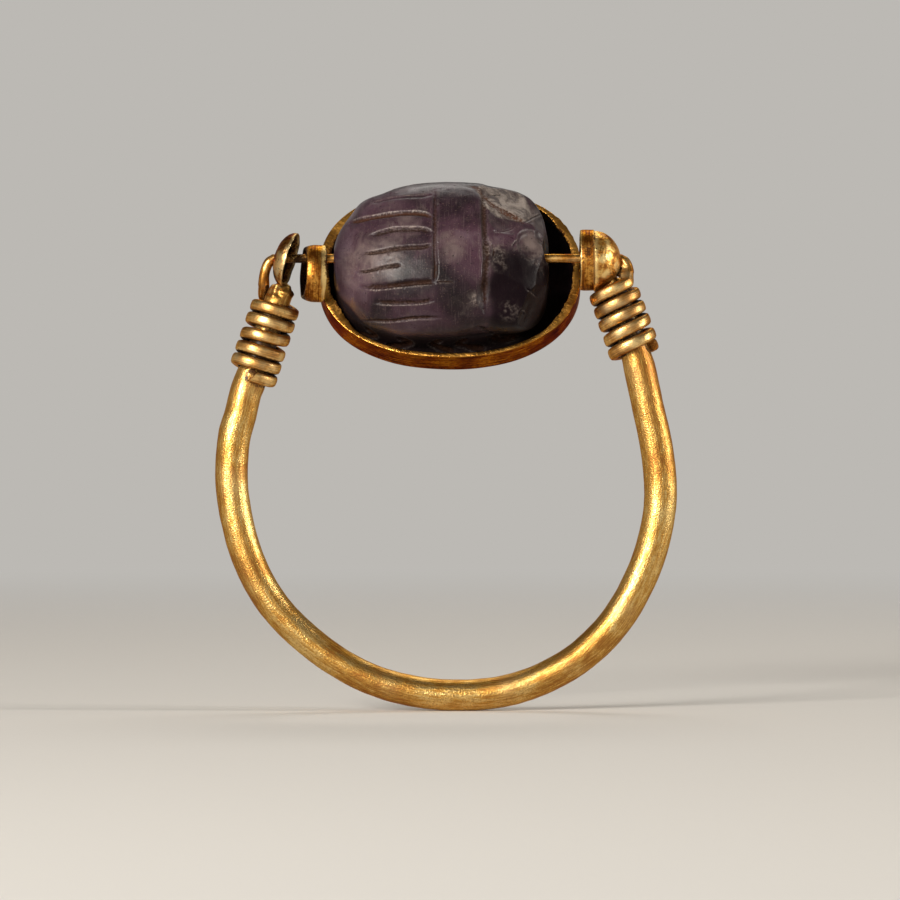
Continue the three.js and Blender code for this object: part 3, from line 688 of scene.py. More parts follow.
def makeBand():
    piece = addOval(bezel, band["steps"], 0, bezel["base"], bezel["height"], band["rows"], "NOTHING")
    first = points(piece)[0]
    if points(piece, "normal")[0][:2] @ (first[:2] - bezel["centre"]) < 0:
        edit(piece)
        bpy.ops.mesh.flip_normals()
        leaveEdit()
    modify(piece, "SOLIDIFY", thickness=bezel["wall"], offset=-1)
    modify(piece, "BEVEL", width=band["edge"], segments=2, limit_method="ANGLE", angle_limit=math.radians(50))
    places = points(piece)
    half = np.array(bezel["half"])
    centred = places[:, :2] - bezel["centre"]
    power = np.where(centred[:, 1] > 0, *bezel["powers"])[:, None] / 2
    share = np.sign(centred) * np.abs(centred / half) ** power
    angle = np.arctan2(share[:, 1], share[:, 0])
    inset = lengths(np.array([ovalPoint(bezel, a) for a in angle]) - places[:, :2])
    heightShare = (places[:, 2] - bezel["base"]) / bezel["height"]
    inside = smoothStep(inset, bezel["wall"] * 0.35, bezel["wall"] * 0.8)
    atEnds = np.array([smoothStep(sign * centred[:, 0], *band["endFrom"]) for sign in (-1, 1)])
    least, more = band["rimShine"]
    paint(piece, workPlace=np.stack([angle * half.mean(), places[:, 2], inset], axis=1),
          soil=inside * (smoothStep(heightShare, 1.0, 0.9) * band["soil"] + band["endSoil"] @ atEnds)
          + patches(places, band["soilPatch"]) * band["outerSoil"],
          wear=smoothStep(heightShare, *band["rimSpan"]) * (least + more * patches(places, band["rimPatch"]))
          + patches(places, band["rubPatch"]) * band["rub"])
    # the strip waves a little, its rim is crumpled beside the head and leans in at both ends
    sideways = centred / half ** 2
    sideways /= lengths(sideways)[:, None]
    crumpled = smoothStep(centred[:, 0], *band["crumpleFrom"]) * smoothStep(heightShare, 0.5, 1.0)
    push = relief(places, band["wave"]) + relief(places, band["crumple"]) * crumpled
    lip = smoothStep(inset, bezel["wall"] * 0.4, bezel["wall"] * 0.8) * smoothStep(heightShare, 0.72, 1.0)
    push -= lip * (band["lips"] @ atEnds) * (1 + relief(places, band["lipLumps"]))
    places[:, :2] += sideways * push[:, None]
    flat = places * (1, 1, 0)
    places[:, 2] += relief(flat, band["rimWave"]) * heightShare + relief(flat, band["rimDents"]) * crumpled
    setPoints(piece, places)
    finishPiece(piece, "ovalBand", "bezel", "bezel_band", bandGold, 40)


makeBand()


# Collars: short tubes rolled from sheet, notched over the ends of the band

collars = {
    "left": {"radius": 1.61, "length": 1.12, "start": -8.02, "shift": 0.49, "drop": 0.80, "turn": 5, "yaw": 5,
             "rolled": (0.1, 0.13), "dents": (0.7, 31, 0.02), "endWave": (0.8, 36, 0.03),
             "soilPatch": (0.5, 31, 0.25, 0.6)},
    "right": {"radius": 1.71, "length": 0.795, "start": 7.53, "shift": 0, "drop": 0.17, "turn": 0, "yaw": 0,
              "rolled": (-0.4, 0.10), "dents": (0.7, 32, 0.02), "endWave": (0.8, 37, 0.03),
              "soilPatch": (0.5, 32, 0.25, 0.6)},
}
# soil: on the inner wall, at the top and bottom, and in patches
collarSheet = {"wall": 0.17, "steps": 96, "rows": 8, "edge": 0.03, "notchGap": 0.01,
               "innerWall": (-0.06, -0.14), "topAndBottom": (0.6, 1.5), "soils": (0.9, 0.42, 0.35),
               "rim": 0.09, "rimShine": 0.8}

# rolled gold sheet: amber with fine upright scratches, brown inside
collarGold = goldMaterial("rolledGoldSheet", {
    "deep": "#5C2E08", "main": "#9A5C1A", "light": "#D69A44", "worn": "#F8D890", "pit": "#442408",
    "soilDark": "#140B06", "soilLight": "#452610", "slant": "#DCBC88", "streakMm": (0.09, 1.4), "cloudMm": 0.7,
    "gritMm": 0.11, "pitFrom": 0.72, "rough": (0.28, 0.46), "scratch": 0.5, "dimple": 0.5, "fleck": 0.50,
    "film": 0.1})


def makeCollar(side, room):
    collar = collars[side]
    deselectAll()
    bpy.ops.mesh.primitive_cylinder_add(vertices=collarSheet["steps"], radius=collar["radius"],
                                        depth=collar["length"], end_fill_type="NOTHING")
    piece = bpy.context.object
    # rings along its length
    top = points(piece)[:, 2] > 0
    edit(piece, "DESELECT", "EDGE")
    leaveEdit()
    for line in piece.data.edges:
        line.select = bool(top[line.vertices[0]] != top[line.vertices[1]])
    bpy.ops.object.mode_set(mode="EDIT")
    bpy.ops.mesh.subdivide(number_cuts=collarSheet["rows"])
    leaveEdit()
    modify(piece, "SOLIDIFY", thickness=collarSheet["wall"], offset=-1)
    modify(piece, "BEVEL", width=collarSheet["edge"], segments=2, limit_method="ANGLE",
           angle_limit=math.radians(50))
    # the cylinder's own axis, z, becomes the pivot's
    places = points(piece)[:, [2, 1, 0]] * (1, 1, -1)
    dents = relief(places, collar["dents"])
    edgeShare = np.clip(collar["rolled"][0] - places[:, 0] / collar["length"] * 2, 0, 2)
    dents -= collar["rolled"][1] * edgeShare ** 2
    places[:, 1:] *= (1 + dents / lengths(places[:, 1:]))[:, None]
    places[:, 0] += relief(places * (0, 1, 1), collar["endWave"])
    upright = Matrix.Rotation(-bezelTilt, 3, "X") @ Vector((0, 0, 1))
    turn = Matrix.Rotation(math.radians(collar["yaw"]), 3, upright) @ Matrix.Rotation(
        math.radians(collar["turn"]), 3, "Y")
    middle = Vector((collar["start"] + collar["length"] / 2, -collar["shift"], -collar["drop"]))
    setPoints(piece, [list(turn @ Vector(p) + middle) for p in places])
    modify(piece, "BOOLEAN", operation="DIFFERENCE", object=room, solver="EXACT")
    modify(piece, "TRIANGULATE")
    outward(piece)
    centred = points(piece) - middle
    across, end = np.abs(centred[:, 0]), collar["length"] / 2
    soils = [smoothStep(lengths(centred[:, 1:]) - collar["radius"], *collarSheet["innerWall"]),
             smoothStep(np.abs(centred[:, 2] + 0.1), *collarSheet["topAndBottom"]),
             patches(points(piece), collar["soilPatch"])]
    paint(piece, workPlace=centred, soil=collarSheet["soils"] @ np.array(soils),
          wear=smoothStep(across, end - collarSheet["rim"], end) * collarSheet["rimShine"])
    finishPiece(piece, side + "SolderedCollar", "bezel", side + "_collar", collarGold, 35)


room = addOval(bezel, band["steps"], -collarSheet["notchGap"], bezel["base"] - bezel["height"],
               2 * bezel["height"] + collarSheet["notchGap"])
for side in collars:
    makeCollar(side, room)
bpy.data.objects.remove(room)


# Scarab: cut as a rough body with broken facets, joined to its legs and base, then carved

stone = {"rear": -6.30, "length": 12.09, "halfWidth": 4.72, "height": 3.05, "waist": 2.10, "rings": 72,
         "segments": 96, "archPower": 0.92, "underPower": 0.6, "underTaper": 0.1,
         "farTail": (0.31, 0.055, 0.10),  # how much wider on the far side, where and over what share
         "voxel": 0.088, "boreRadius": 0.31, "plateHeight": 0.80, "legTop": -1.15, "blockSteps": 160,
         "legs": {"half": (5.85, 4.62), "centre": (-0.35, 0), "powers": (2.6, 2.6)}}

bodyShares = [  # along the length, with the half width, the height, the depth of the waist
    (0.000, 0.200, 0.150, 0.70), (0.010, 0.320, 0.200, 0.88), (0.028, 0.425, 0.265, 0.95),
    (0.075, 0.570, 0.385, 0.90), (0.115, 0.700, 0.550, 0.72), (0.168, 0.818, 0.720, 0.52),
    (0.225, 0.885, 0.820, 0.36), (0.290, 0.945, 0.905, 0.21), (0.370, 0.985, 0.965, 0.15),
    (0.460, 1.000, 1.000, 0.12), (0.560, 0.998, 1.000, 0.06), (0.640, 0.975, 0.985, -0.02),
    (0.688, 0.958, 0.950, -0.06), (0.716, 0.950, 0.880, 0.00), (0.790, 0.945, 0.740, 0.08),
    (0.870, 0.912, 0.590, 0.14), (0.930, 0.815, 0.450, 0.22), (0.970, 0.640, 0.340, 0.34),
    (0.992, 0.420, 0.260, 0.44), (1.000, 0.240, 0.210, 0.44)]


def bodySection(share):
    # half width, top and waist, on a smooth curve through the rows
    row = 0
    while row < len(bodyShares) - 2 and bodyShares[row + 1][0] < share:
        row += 1
    a, b = bodyShares[row], bodyShares[row + 1]
    before, after = bodyShares[max(0, row - 1)], bodyShares[min(len(bodyShares) - 1, row + 2)]
    width = b[0] - a[0]
    t = min(1, max(0, (share - a[0]) / width))
    values = []
    for column in (1, 2, 3):
        slopeA = (b[column] - before[column]) / max(1e-6, b[0] - before[0]) * width
        slopeB = (after[column] - a[column]) / max(1e-6, after[0] - a[0]) * width
        values.append((2 * t ** 3 - 3 * t ** 2 + 1) * a[column] + (t ** 3 - 2 * t ** 2 + t) * slopeA
                      + (3 * t ** 2 - 2 * t ** 3) * b[column] + (t ** 3 - t ** 2) * slopeB)
    return stone["halfWidth"] * values[0], stone["height"] * values[1], -stone["waist"] * values[2]


def roughBody():
    # a ball whose rings become the sections of the body, from tail to head
    deselectAll()
    bpy.ops.mesh.primitive_uv_sphere_add(segments=stone["segments"], ring_count=stone["rings"], radius=1)
    body = bpy.context.object
    legBottom = bezel["base"] + stone["plateHeight"] / 2
    wider, middle, reach = stone["farTail"]
    moved = []
    for x, y, z in points(body):
        share = (1 - max(-1, min(1, z))) / 2
        halfWidth, top, waist = bodySection(share)
        angle = math.atan2(x, y) if abs(x) + abs(y) > 1e-6 else math.pi / 2
        c, s = math.cos(angle), math.sin(angle)
        if s >= 0:
            height, side = waist + (top - waist) * s ** stone["archPower"], c * halfWidth
        else:
            height = waist + (legBottom - waist) * (-s) ** stone["underPower"]
            side = c * halfWidth * (1 + stone["underTaper"] * s)
        if c > 0:
            side *= 1 + wider * math.exp(-((share - middle) / reach) ** 2)
        pole = min(1, math.hypot(x, y) / 0.02)
        moved.append((stone["rear"] + stone["length"] * share, side * pole,
                      height * pole + (top + waist) / 2 * (1 - pole)))
    setPoints(body, moved)
    outward(body)
    return body


# Every cut, scrape and scar is placed where the photograph shows it: points are pixels of its 900 square frame

def bezelPoint(worldPoint):
    return Matrix.Rotation(-bezelTilt, 3, "X") @ (worldPoint - pivotPoint) / mm


def surfaceOf(piece):
    faces = [list(face.vertices) for face in piece.data.polygons]
    return bvhtree.BVHTree.FromPolygons([vertex.co for vertex in piece.data.vertices], faces)


def onSurface(surface, pixel):
    # the place and normal that a pixel shows, or two Nones beside the stone
    middle, scale = view["pixels"] / 2, view["field"] / view["pixels"]
    seen = Vector(((view["aimX"] + (pixel[0] - middle) * scale) * mm, hoopPlane.y,
                   (view["aimZ"] - (pixel[1] - middle) * scale) * mm))
    start = bezelPoint(camera.location)
    return surface.ray_cast(start, (bezelPoint(seen) - start).normalized())[:2]


# flats that broke or were ground off: middle, depth and reach in mm, lean to the right and up, chipped share
scrapes = [
    ((506, 200), 0.20, 1.7, (0.04, 0.03), 1.0), ((531, 208), 0.20, 1.4, (0.10, 0.00), 0.35),
    ((533, 246), 0.16, 1.1, (-0.16, 0.12), 0.12), ((544, 268), 0.12, 1.6, (0.15, -0.05), 0.0),
    ((538, 217), 0.20, 1.5, (0.25, 0.05), 0.1), ((535, 312), 0.42, 2.6, (0.18, -0.12), 0.0),
    ((507, 296), 0.22, 2.0, (-0.05, -0.12), 0.0), ((470, 303), 0.10, 1.5, (0.05, -0.05), 0.05),
    ((544, 228), 0.16, 1.3, (1.30, 0.15), 0.0), ((541, 306), 0.20, 1.6, (0.90, -0.50), 0.0)]
# shell-shaped hollows: middle, radius of the hollow and depth in mm, chipped share, and its own way if any
scoops = [
    ((505, 221), 2.6, 0.20, 0.08, None), ((542, 237), 0.8, 0.26, 0.0, None),
    ((547, 246), 2.3, 0.25, 0.0, (1, 0, 0)), ((473, 296), 0.9, 0.07, 0.15, None)]
# strokes: steep and gentle half widths and depth in mm; lip 1 has its steep side up, -1 down, 0 has two alike;
# the steep side, or both for 0, carries a painted highlight; then how much soil, pale (painted lip highlight)
# and rust it shows
strokeValues = ("steep", "gentle", "deep", "lip", "soil", "pale", "rust")
strokes = [
    # grooves of the wing cases
    ([(350, 222), (361, 219), (377, 216), (394, 213), (407, 212), (423, 212.6), (433, 217)],
     (0.12, 0.30, 0.15, 1, 1.0, 0.8, 0.7)),
    ([(370, 235), (383, 231.5), (394, 228.8), (407, 228.4), (423, 228.8), (432, 232)],
     (0.12, 0.27, 0.14, 1, 0.7, 0.8, 0.2)),
    ([(359, 254), (377, 252.4), (392, 249.6), (407, 247.6), (422, 247), (432, 245)],
     (0.15, 0.15, 0.13, 0, 1.0, 0.35, 0.3)),
    ([(356, 272.4), (368, 271.2), (381, 268), (394, 265.8), (400, 265)], (0.13, 0.13, 0.11, 0, 1.0, 0.3, 0.2)),
    ([(361, 287.8), (379, 287.6), (392, 286.4), (411, 284), (425, 283), (434, 282.6)],
     (0.12, 0.24, 0.14, -1, 0.9, 0.8, 0.3)),
    ([(374, 302.6), (392, 303), (405, 303), (417, 302.6), (433, 300.8)],
     (0.12, 0.20, 0.11, -1, 0.8, 0.6, 0.2)),
    ([(363, 320.6), (385, 321.4), (400, 320.6), (415, 318.6), (440, 318)],
     (0.10, 0.20, 0.12, -1, 0.9, 0.4, 0.2)),
    ([(372, 203), (390, 198.6), (407, 196.4), (430, 195)], (0.12, 0.22, 0.07, 1, 0.3, 0.4, 0.0)),
    # between wing cases and chest
    ([(434.6, 190), (435, 212), (434.6, 230), (434.6, 250), (435.6, 268), (434.6, 283)],
     (0.17, 0.17, 0.11, 0, 0.68, 0.1, 0.4)),
    ([(436, 282), (444, 281.6), (454, 282)], (0.06, 0.06, 0.04, 0, 0.7, 0.3, 0.2)),
    # behind the head, a broad flat one
    ([(483, 186), (484, 205), (484.5, 222), (485.5, 236), (486.5, 250), (486, 268), (485, 284), (485, 312)],
     (0.27, 0.27, 0.17, 0, 0.80, 0.08, 0.35)),
    ([(480, 226), (480.4, 240), (481.6, 262)], (0.08, 0.10, -0.04, 0, 0.0, 0.3, 0.0)),
    # soil and cracks along the broken face
    ([(463, 185.6), (477, 188), (483, 195), (491, 204), (505, 212), (517, 217.6), (525, 224)],
     (0.36, 0.36, 0.05, 0, 0.62, 0.0, 1.0)),
    ([(485, 197), (493, 204), (504, 209), (514, 214.6), (522, 221)], (0.10, 0.16, 0.09, 1, 0.9, 0.5, 0.8)),
    ([(525, 222), (533, 217.6), (541, 214)], (0.05, 0.09, 0.07, 0, 0.6, 0.5, 0.3)),
    ([(487, 194.6), (493, 195.4), (501, 194.6)], (0.05, 0.07, 0.10, 0, 1.0, 0.2, 0.0)),
    # scratches and nicks on the head and chest
    ([(493, 231.4), (500, 231.6), (507, 230.4), (514, 228)], (0.05, 0.14, 0.06, -1, 0.3, 0.4, 0.3)),
    ([(512.6, 246.4), (515, 242.6), (518, 240)], (0.05, 0.09, 0.07, 1, 0.4, 0.6, 0.0)),
    ([(526, 288.4), (531, 292), (536, 296)], (0.04, 0.08, 0.06, -1, 0.3, 0.3, 0.0)),
    ([(508, 309), (511, 311.5)], (0.05, 0.08, 0.03, 1, 0.0, 0.5, 0.0)),
    ([(521, 311), (524, 312.5)], (0.05, 0.08, 0.03, 1, 0.0, 0.7, 0.0)),
    # a painted glint: a bright speck on a crack that catches the light
    ([(471, 298.5), (475, 299)], (0.06, 0.10, 0.05, 1, 0.0, 1.0, 0.0)),
    ([(493, 262), (498, 258), (503, 255)], (0.05, 0.12, 0.04, 1, 0.1, 0.35, 0.0)),
    ([(492, 243), (494, 249), (493, 256)], (0.05, 0.10, 0.04, 0, 0.4, 0.25, 0.3)),
    # the near front leg, folded along the head
    ([(478, 327), (492, 333), (508, 336.5), (524, 335)], (0.12, 0.22, 0.16, -1, 0.6, 0.1, 0.0))]
# a groove of the wing cases that the photograph hides: side, start and end as shares of width and length
farGroove = {"side": 0.88, "start": 0.13, "end": 0.44, "points": 60,
             "cut": (0.14, 0.14, 0.12, 0, 0.9, 0.2, 0.2)}
# legs on both flanks: each is the front edge of a leg, from the body down to the base, as shares of the length
legCuts = [((0.15, 0.0), (0.19, 0.5), (0.10, 1.0)), ((0.30, 0.0), (0.35, 0.5), (0.24, 1.0)),
           ((0.50, 0.0), (0.46, 0.5), (0.56, 1.0)), ((0.62, 0.0), (0.58, 0.5), (0.70, 1.0)),
           ((0.78, 0.0), (0.74, 0.5), (0.86, 1.0))]
# painted sheen: pale patches where the soft highlight lies on the stone; then pale specks, partly dust in its
# pores and partly painted glints: middle, reach in mm and strength
veils = [((450, 247), 1.15, 0.50), ((378, 260), 1.7, 0.60), ((533, 246), 0.9, 0.7), ((404, 226), 1.1, 0.4),
         ((358, 250), 1.3, 0.45), ((350, 275), 1.1, 0.30), ((497, 255), 0.7, 0.3)]
dustings = [((493, 250), 1.00, 0.34), ((499, 264), 0.60, 0.26), ((510, 311), 0.75, 0.18),
            ((475, 300), 0.45, 0.45), ((540, 262), 0.95, 0.24), ((540, 240), 0.50, 0.26),
            ((388, 262), 1.30, 0.22), ((356, 270), 1.10, 0.22)]
carving = {"refine": 0.23, "pitCount": 420, "pitRadius": (0.04, 0.10), "pitDeep": 0.035, "pitFloor": -0.6,
           "worn": ((2.2, 41, 0.035), (0.55, 42, 0.012)), "wornFrom": (-2.2, -0.6), "broken": ((0.5, 51, 0.02),
           (1.1, 52, 0.03)), "dustPatch": (0.24, 61, -0.25, 0.40), "drift": (1.3, 43, 0.5), "legTop": -1.25,
           "legBottom": -2.30, "legCut": (0.07, 0.26, 0.20, 0, 0.8, 0.1, 0.1), "margin": 0.10, "seed": 7}


def curveThrough(stations, step):
    # evenly spaced points on a smooth curve through flat stations
    route, _ = smoothRoute([(Vector((*station, 0)), 0) for station in stations], 16)
    length = sum((b - a).length for a, b in zip(route, route[1:]))
    return route[::max(1, len(route) // max(4, int(length / step)))] + [route[-1]]


def strokeRoutes(surface):
    routes = [([onSurface(surface, p)[0] for p in curveThrough(path, 0.9)], values) for path, values in strokes]
    groove = []
    for part in np.arange(farGroove["points"]) / (farGroove["points"] - 1):
        share = float(farGroove["start"] + (farGroove["end"] - farGroove["start"]) * part)
        halfWidth, top, waist = bodySection(share)
        reach = min(0.965, farGroove["side"] * (stone["halfWidth"] / halfWidth) ** 0.55)
        rise = (1 - reach * reach) ** (stone["archPower"] / 2)
        guess = (stone["rear"] + stone["length"] * share, reach * halfWidth, waist + (top - waist) * rise)
        groove.append(surface.find_nearest(guess)[0])
    routes.append((groove, farGroove["cut"]))
    for sign in (-1, 1):
        for cut in legCuts:
            places = []
            for share, down, _ in curveThrough(cut, 0.02):
                level = carving["legTop"] + (carving["legBottom"] - carving["legTop"]) * down
                outside = Vector((stone["rear"] + stone["length"] * share, sign * 9, level))
                places.append(surface.ray_cast(outside, Vector((0, -sign, 0)))[0])
            routes.append((places, carving["legCut"]))
    return [([place for place in route if place], dict(zip(strokeValues, values))) for route, values in routes]


def scrapeAway(body):
    surface = surfaceOf(body)
    places, out = points(body), points(body, "normal")
    chip = np.zeros(len(places))
    for pixel, deep, reach, lean, chipped in scrapes:
        middle, facing = onSurface(surface, pixel)
        away = np.array((facing + Vector((*lean, 0))).normalized())
        over = (places - middle + np.array(facing) * deep) @ away
        gap = lengths(places - middle)
        near = (gap < reach) & (over > 0) & (out @ away > 0.2)
        rough = relief(places[near], *carving["broken"])
        fade = smoothStep(reach - gap[near], 0, 0.3 * reach)
        places[near] -= away * ((over[near] - np.minimum(over[near], rough + 0.02)) * fade)[:, None]
        chip[near] = np.maximum(chip[near], chipped)
    for pixel, radius, deep, chipped, way in scoops:
        middle, facing = onSurface(surface, pixel)
        nearest = places[np.argmin(lengths(places - middle))]
        centre = nearest + np.array(way or facing) * (radius - deep)
        offset = places - centre
        gap = lengths(offset)
        inside = gap < radius
        places[inside] = centre + offset[inside] / gap[inside][:, None] * radius
        chip[inside] = np.maximum(chip[inside], chipped)
    setPoints(body, places)
    paint(body, chip=chip)


def refine(body, routes):
    # finer faces under the cuts
    edit(body, "DESELECT", "FACE")
    leaveEdit()
    middles = np.zeros(len(body.data.polygons) * 3)
    body.data.polygons.foreach_get("center", middles)
    near = gapTo([place for route, _ in routes for place in route], middles.reshape(-1, 3)) < carving["refine"]
    body.data.polygons.foreach_set("select", near)
    bpy.ops.object.mode_set(mode="EDIT")
    bpy.ops.mesh.subdivide(number_cuts=1)
    leaveEdit()


def pressStrokes(routes, places, out, tree):
    # how deep each vertex is pressed, and its soil, pale painted lip highlight and rust, all by the nearest
    # point of each stroke
    push, soil, pale, rust = np.zeros((4, len(places)))
    nearest = {}
    for number, (route, stroke) in enumerate(routes):
        reach = max(stroke["steep"], stroke["gentle"]) + carving["margin"]
        for i, place in enumerate(route):
            along = (route[min(i + 1, len(route) - 1)] - route[max(i - 1, 0)]).normalized()
            for _, index, gap in tree.find_range(place, reach):
                if (index, number) not in nearest or gap < nearest[index, number][0]:
                    nearest[index, number] = (gap, place, along, i / max(1, len(route) - 1), stroke)
    for (index, number), (gap, place, along, share, stroke) in nearest.items():
        across = along.cross(Vector(out[index])).normalized()
        if across.y < 0:
            across = -across
        offset = (Vector(places[index]) - place).dot(across)
        wobble = 1 + 0.25 * noise.noise(Vector(place) * 0.9 + Vector((number, 0, 0)))
        taper = min(1, 7 * share + 0.15, 7 * (1 - share) + 0.15)
        steepSide = bool(stroke["lip"]) and offset * stroke["lip"] >= 0
        half = (stroke["steep"] if steepSide else stroke["gentle"]) * (0.6 + 0.4 * taper) * wobble
        if gap > half + carving["margin"]:
            continue
        t = gap / half
        bowl = max(0, 1 - t * t)
        depth = stroke["deep"] * taper * wobble
        push[index] = max(push[index], depth * bowl ** (0.8 if steepSide else 1.3), key=abs)
        soil[index] = max(soil[index], stroke["soil"] * taper * bowl ** 0.9)
        rust[index] = max(rust[index], stroke["rust"] * bowl)
        # painted highlight along the steep lip, in patches
        if t > 0.85 and (steepSide or not stroke["lip"]):
            edge = max(0, 1 - (gap - half) / 0.08) if gap > half else 1
            patchy = easeShare(0.75 + 0.8 * noise.noise(Vector(place) * 1.3))
            pale[index] = max(pale[index], stroke["pale"] * edge * patchy * taper)
    return push, soil, pale, rust


def carve(body):
    scrapeAway(body)
    surface = surfaceOf(body)
    routes = strokeRoutes(surface)
    refine(body, routes)
    places, out = points(body), points(body, "normal")
    x, y, z = places.T
    tree = kdtree.KDTree(len(places))
    for i, place in enumerate(places):
        tree.insert(place, i)
    tree.balance()
    push, soil, pale, rust = pressStrokes(routes, places, out, tree)
    # small pits, mostly by the grooves
    draw = np.random.default_rng(carving["seed"])
    for index in draw.integers(0, len(places), carving["pitCount"]):
        radius = draw.uniform(*carving["pitRadius"])
        deep = draw.uniform(0.4, 1.0) * carving["pitDeep"]
        if z[index] < carving["pitFloor"]:
            continue
        for _, near, gap in tree.find_range(Vector(places[index]), radius):
            push[near] += deep * (1 - (gap / radius) ** 2)
            soil[near] = max(soil[near], 0.7 * (1 - gap / radius))
    # painted sheen: pale patches where the soft highlight lies
    milky = np.zeros(len(places))
    for pixel, reach, strength in veils:
        gap = lengths(places - onSurface(surface, pixel)[0]) / reach
        milky = np.maximum(milky, strength * np.clip(1 - gap ** 2, 0, 1))
    # pale specks, partly dust in the pores and partly painted glints
    for pixel, reach, strength in dustings:
        gap = lengths(places - onSurface(surface, pixel)[0]) / reach
        near = gap < 1
        speckled = patches(places[near], carving["dustPatch"])
        pale[near] = np.maximum(pale[near], strength * (1 - gap[near] ** 2) * speckled)
    # painted shade, partly the stone's own darker zoning: darker low on the near side, at the head, on the far
    # flank and at the tail; near black painted shade below the back
    drift = relief(places, carving["drift"])
    dark = np.max([0.45 * smoothStep(drift - y, 1.6, 3.4),
                   smoothStep(x + drift, 1.6, 3.0) * smoothStep(drift - y, 0.2, 1.7),
                   0.5 * smoothStep(y, 2.8, 4.2), 0.5 * smoothStep(0.3 * drift - x, 4.7, 6.0)], axis=0)
    above = z - bezel["base"]
    paint(body, milky=milky, soil=soil, pale=pale, rust=rust, dark=dark * smoothStep(above, 0.1, 0.6),
          grime=smoothStep(-z, 0.55, 1.3) * smoothStep(above, 0.03, 0.2))
    worn = relief(places, *carving["worn"]) * smoothStep(z, *carving["wornFrom"])
    setPoints(body, places - out * (push - worn)[:, None])


# dark amethyst, carved and polished by hand: brownish purple and cloudy, with a soft gleam, and soil in the
# cuts; painted sheen, painted highlights on the lips of the cuts and painted shade are mixed into its colour.
# Its fine scratches are really thinner than the 0.07 mm that they are drawn at.
amethyst = {"cloudMm": 3.4, "wispMm": 1.0, "speckMm": 0.13, "grainMm": 0.07, "scratchMm": (0.07, 1.1),
            "ior": 1.544, "specular": 0.22, "dull": "#484848",
            "body": ((0.33, "#110A0E"), (0.47, "#281A21"), (0.60, "#402B35"), (0.74, "#594750")),
            "chip": ("#463C38", "#837972"), "earth": ("#150C08", "#46240F"), "sand": "#4A3020",
            "fineBump": (0.45, 0.015), "broadBump": (0.30, 0.05)}


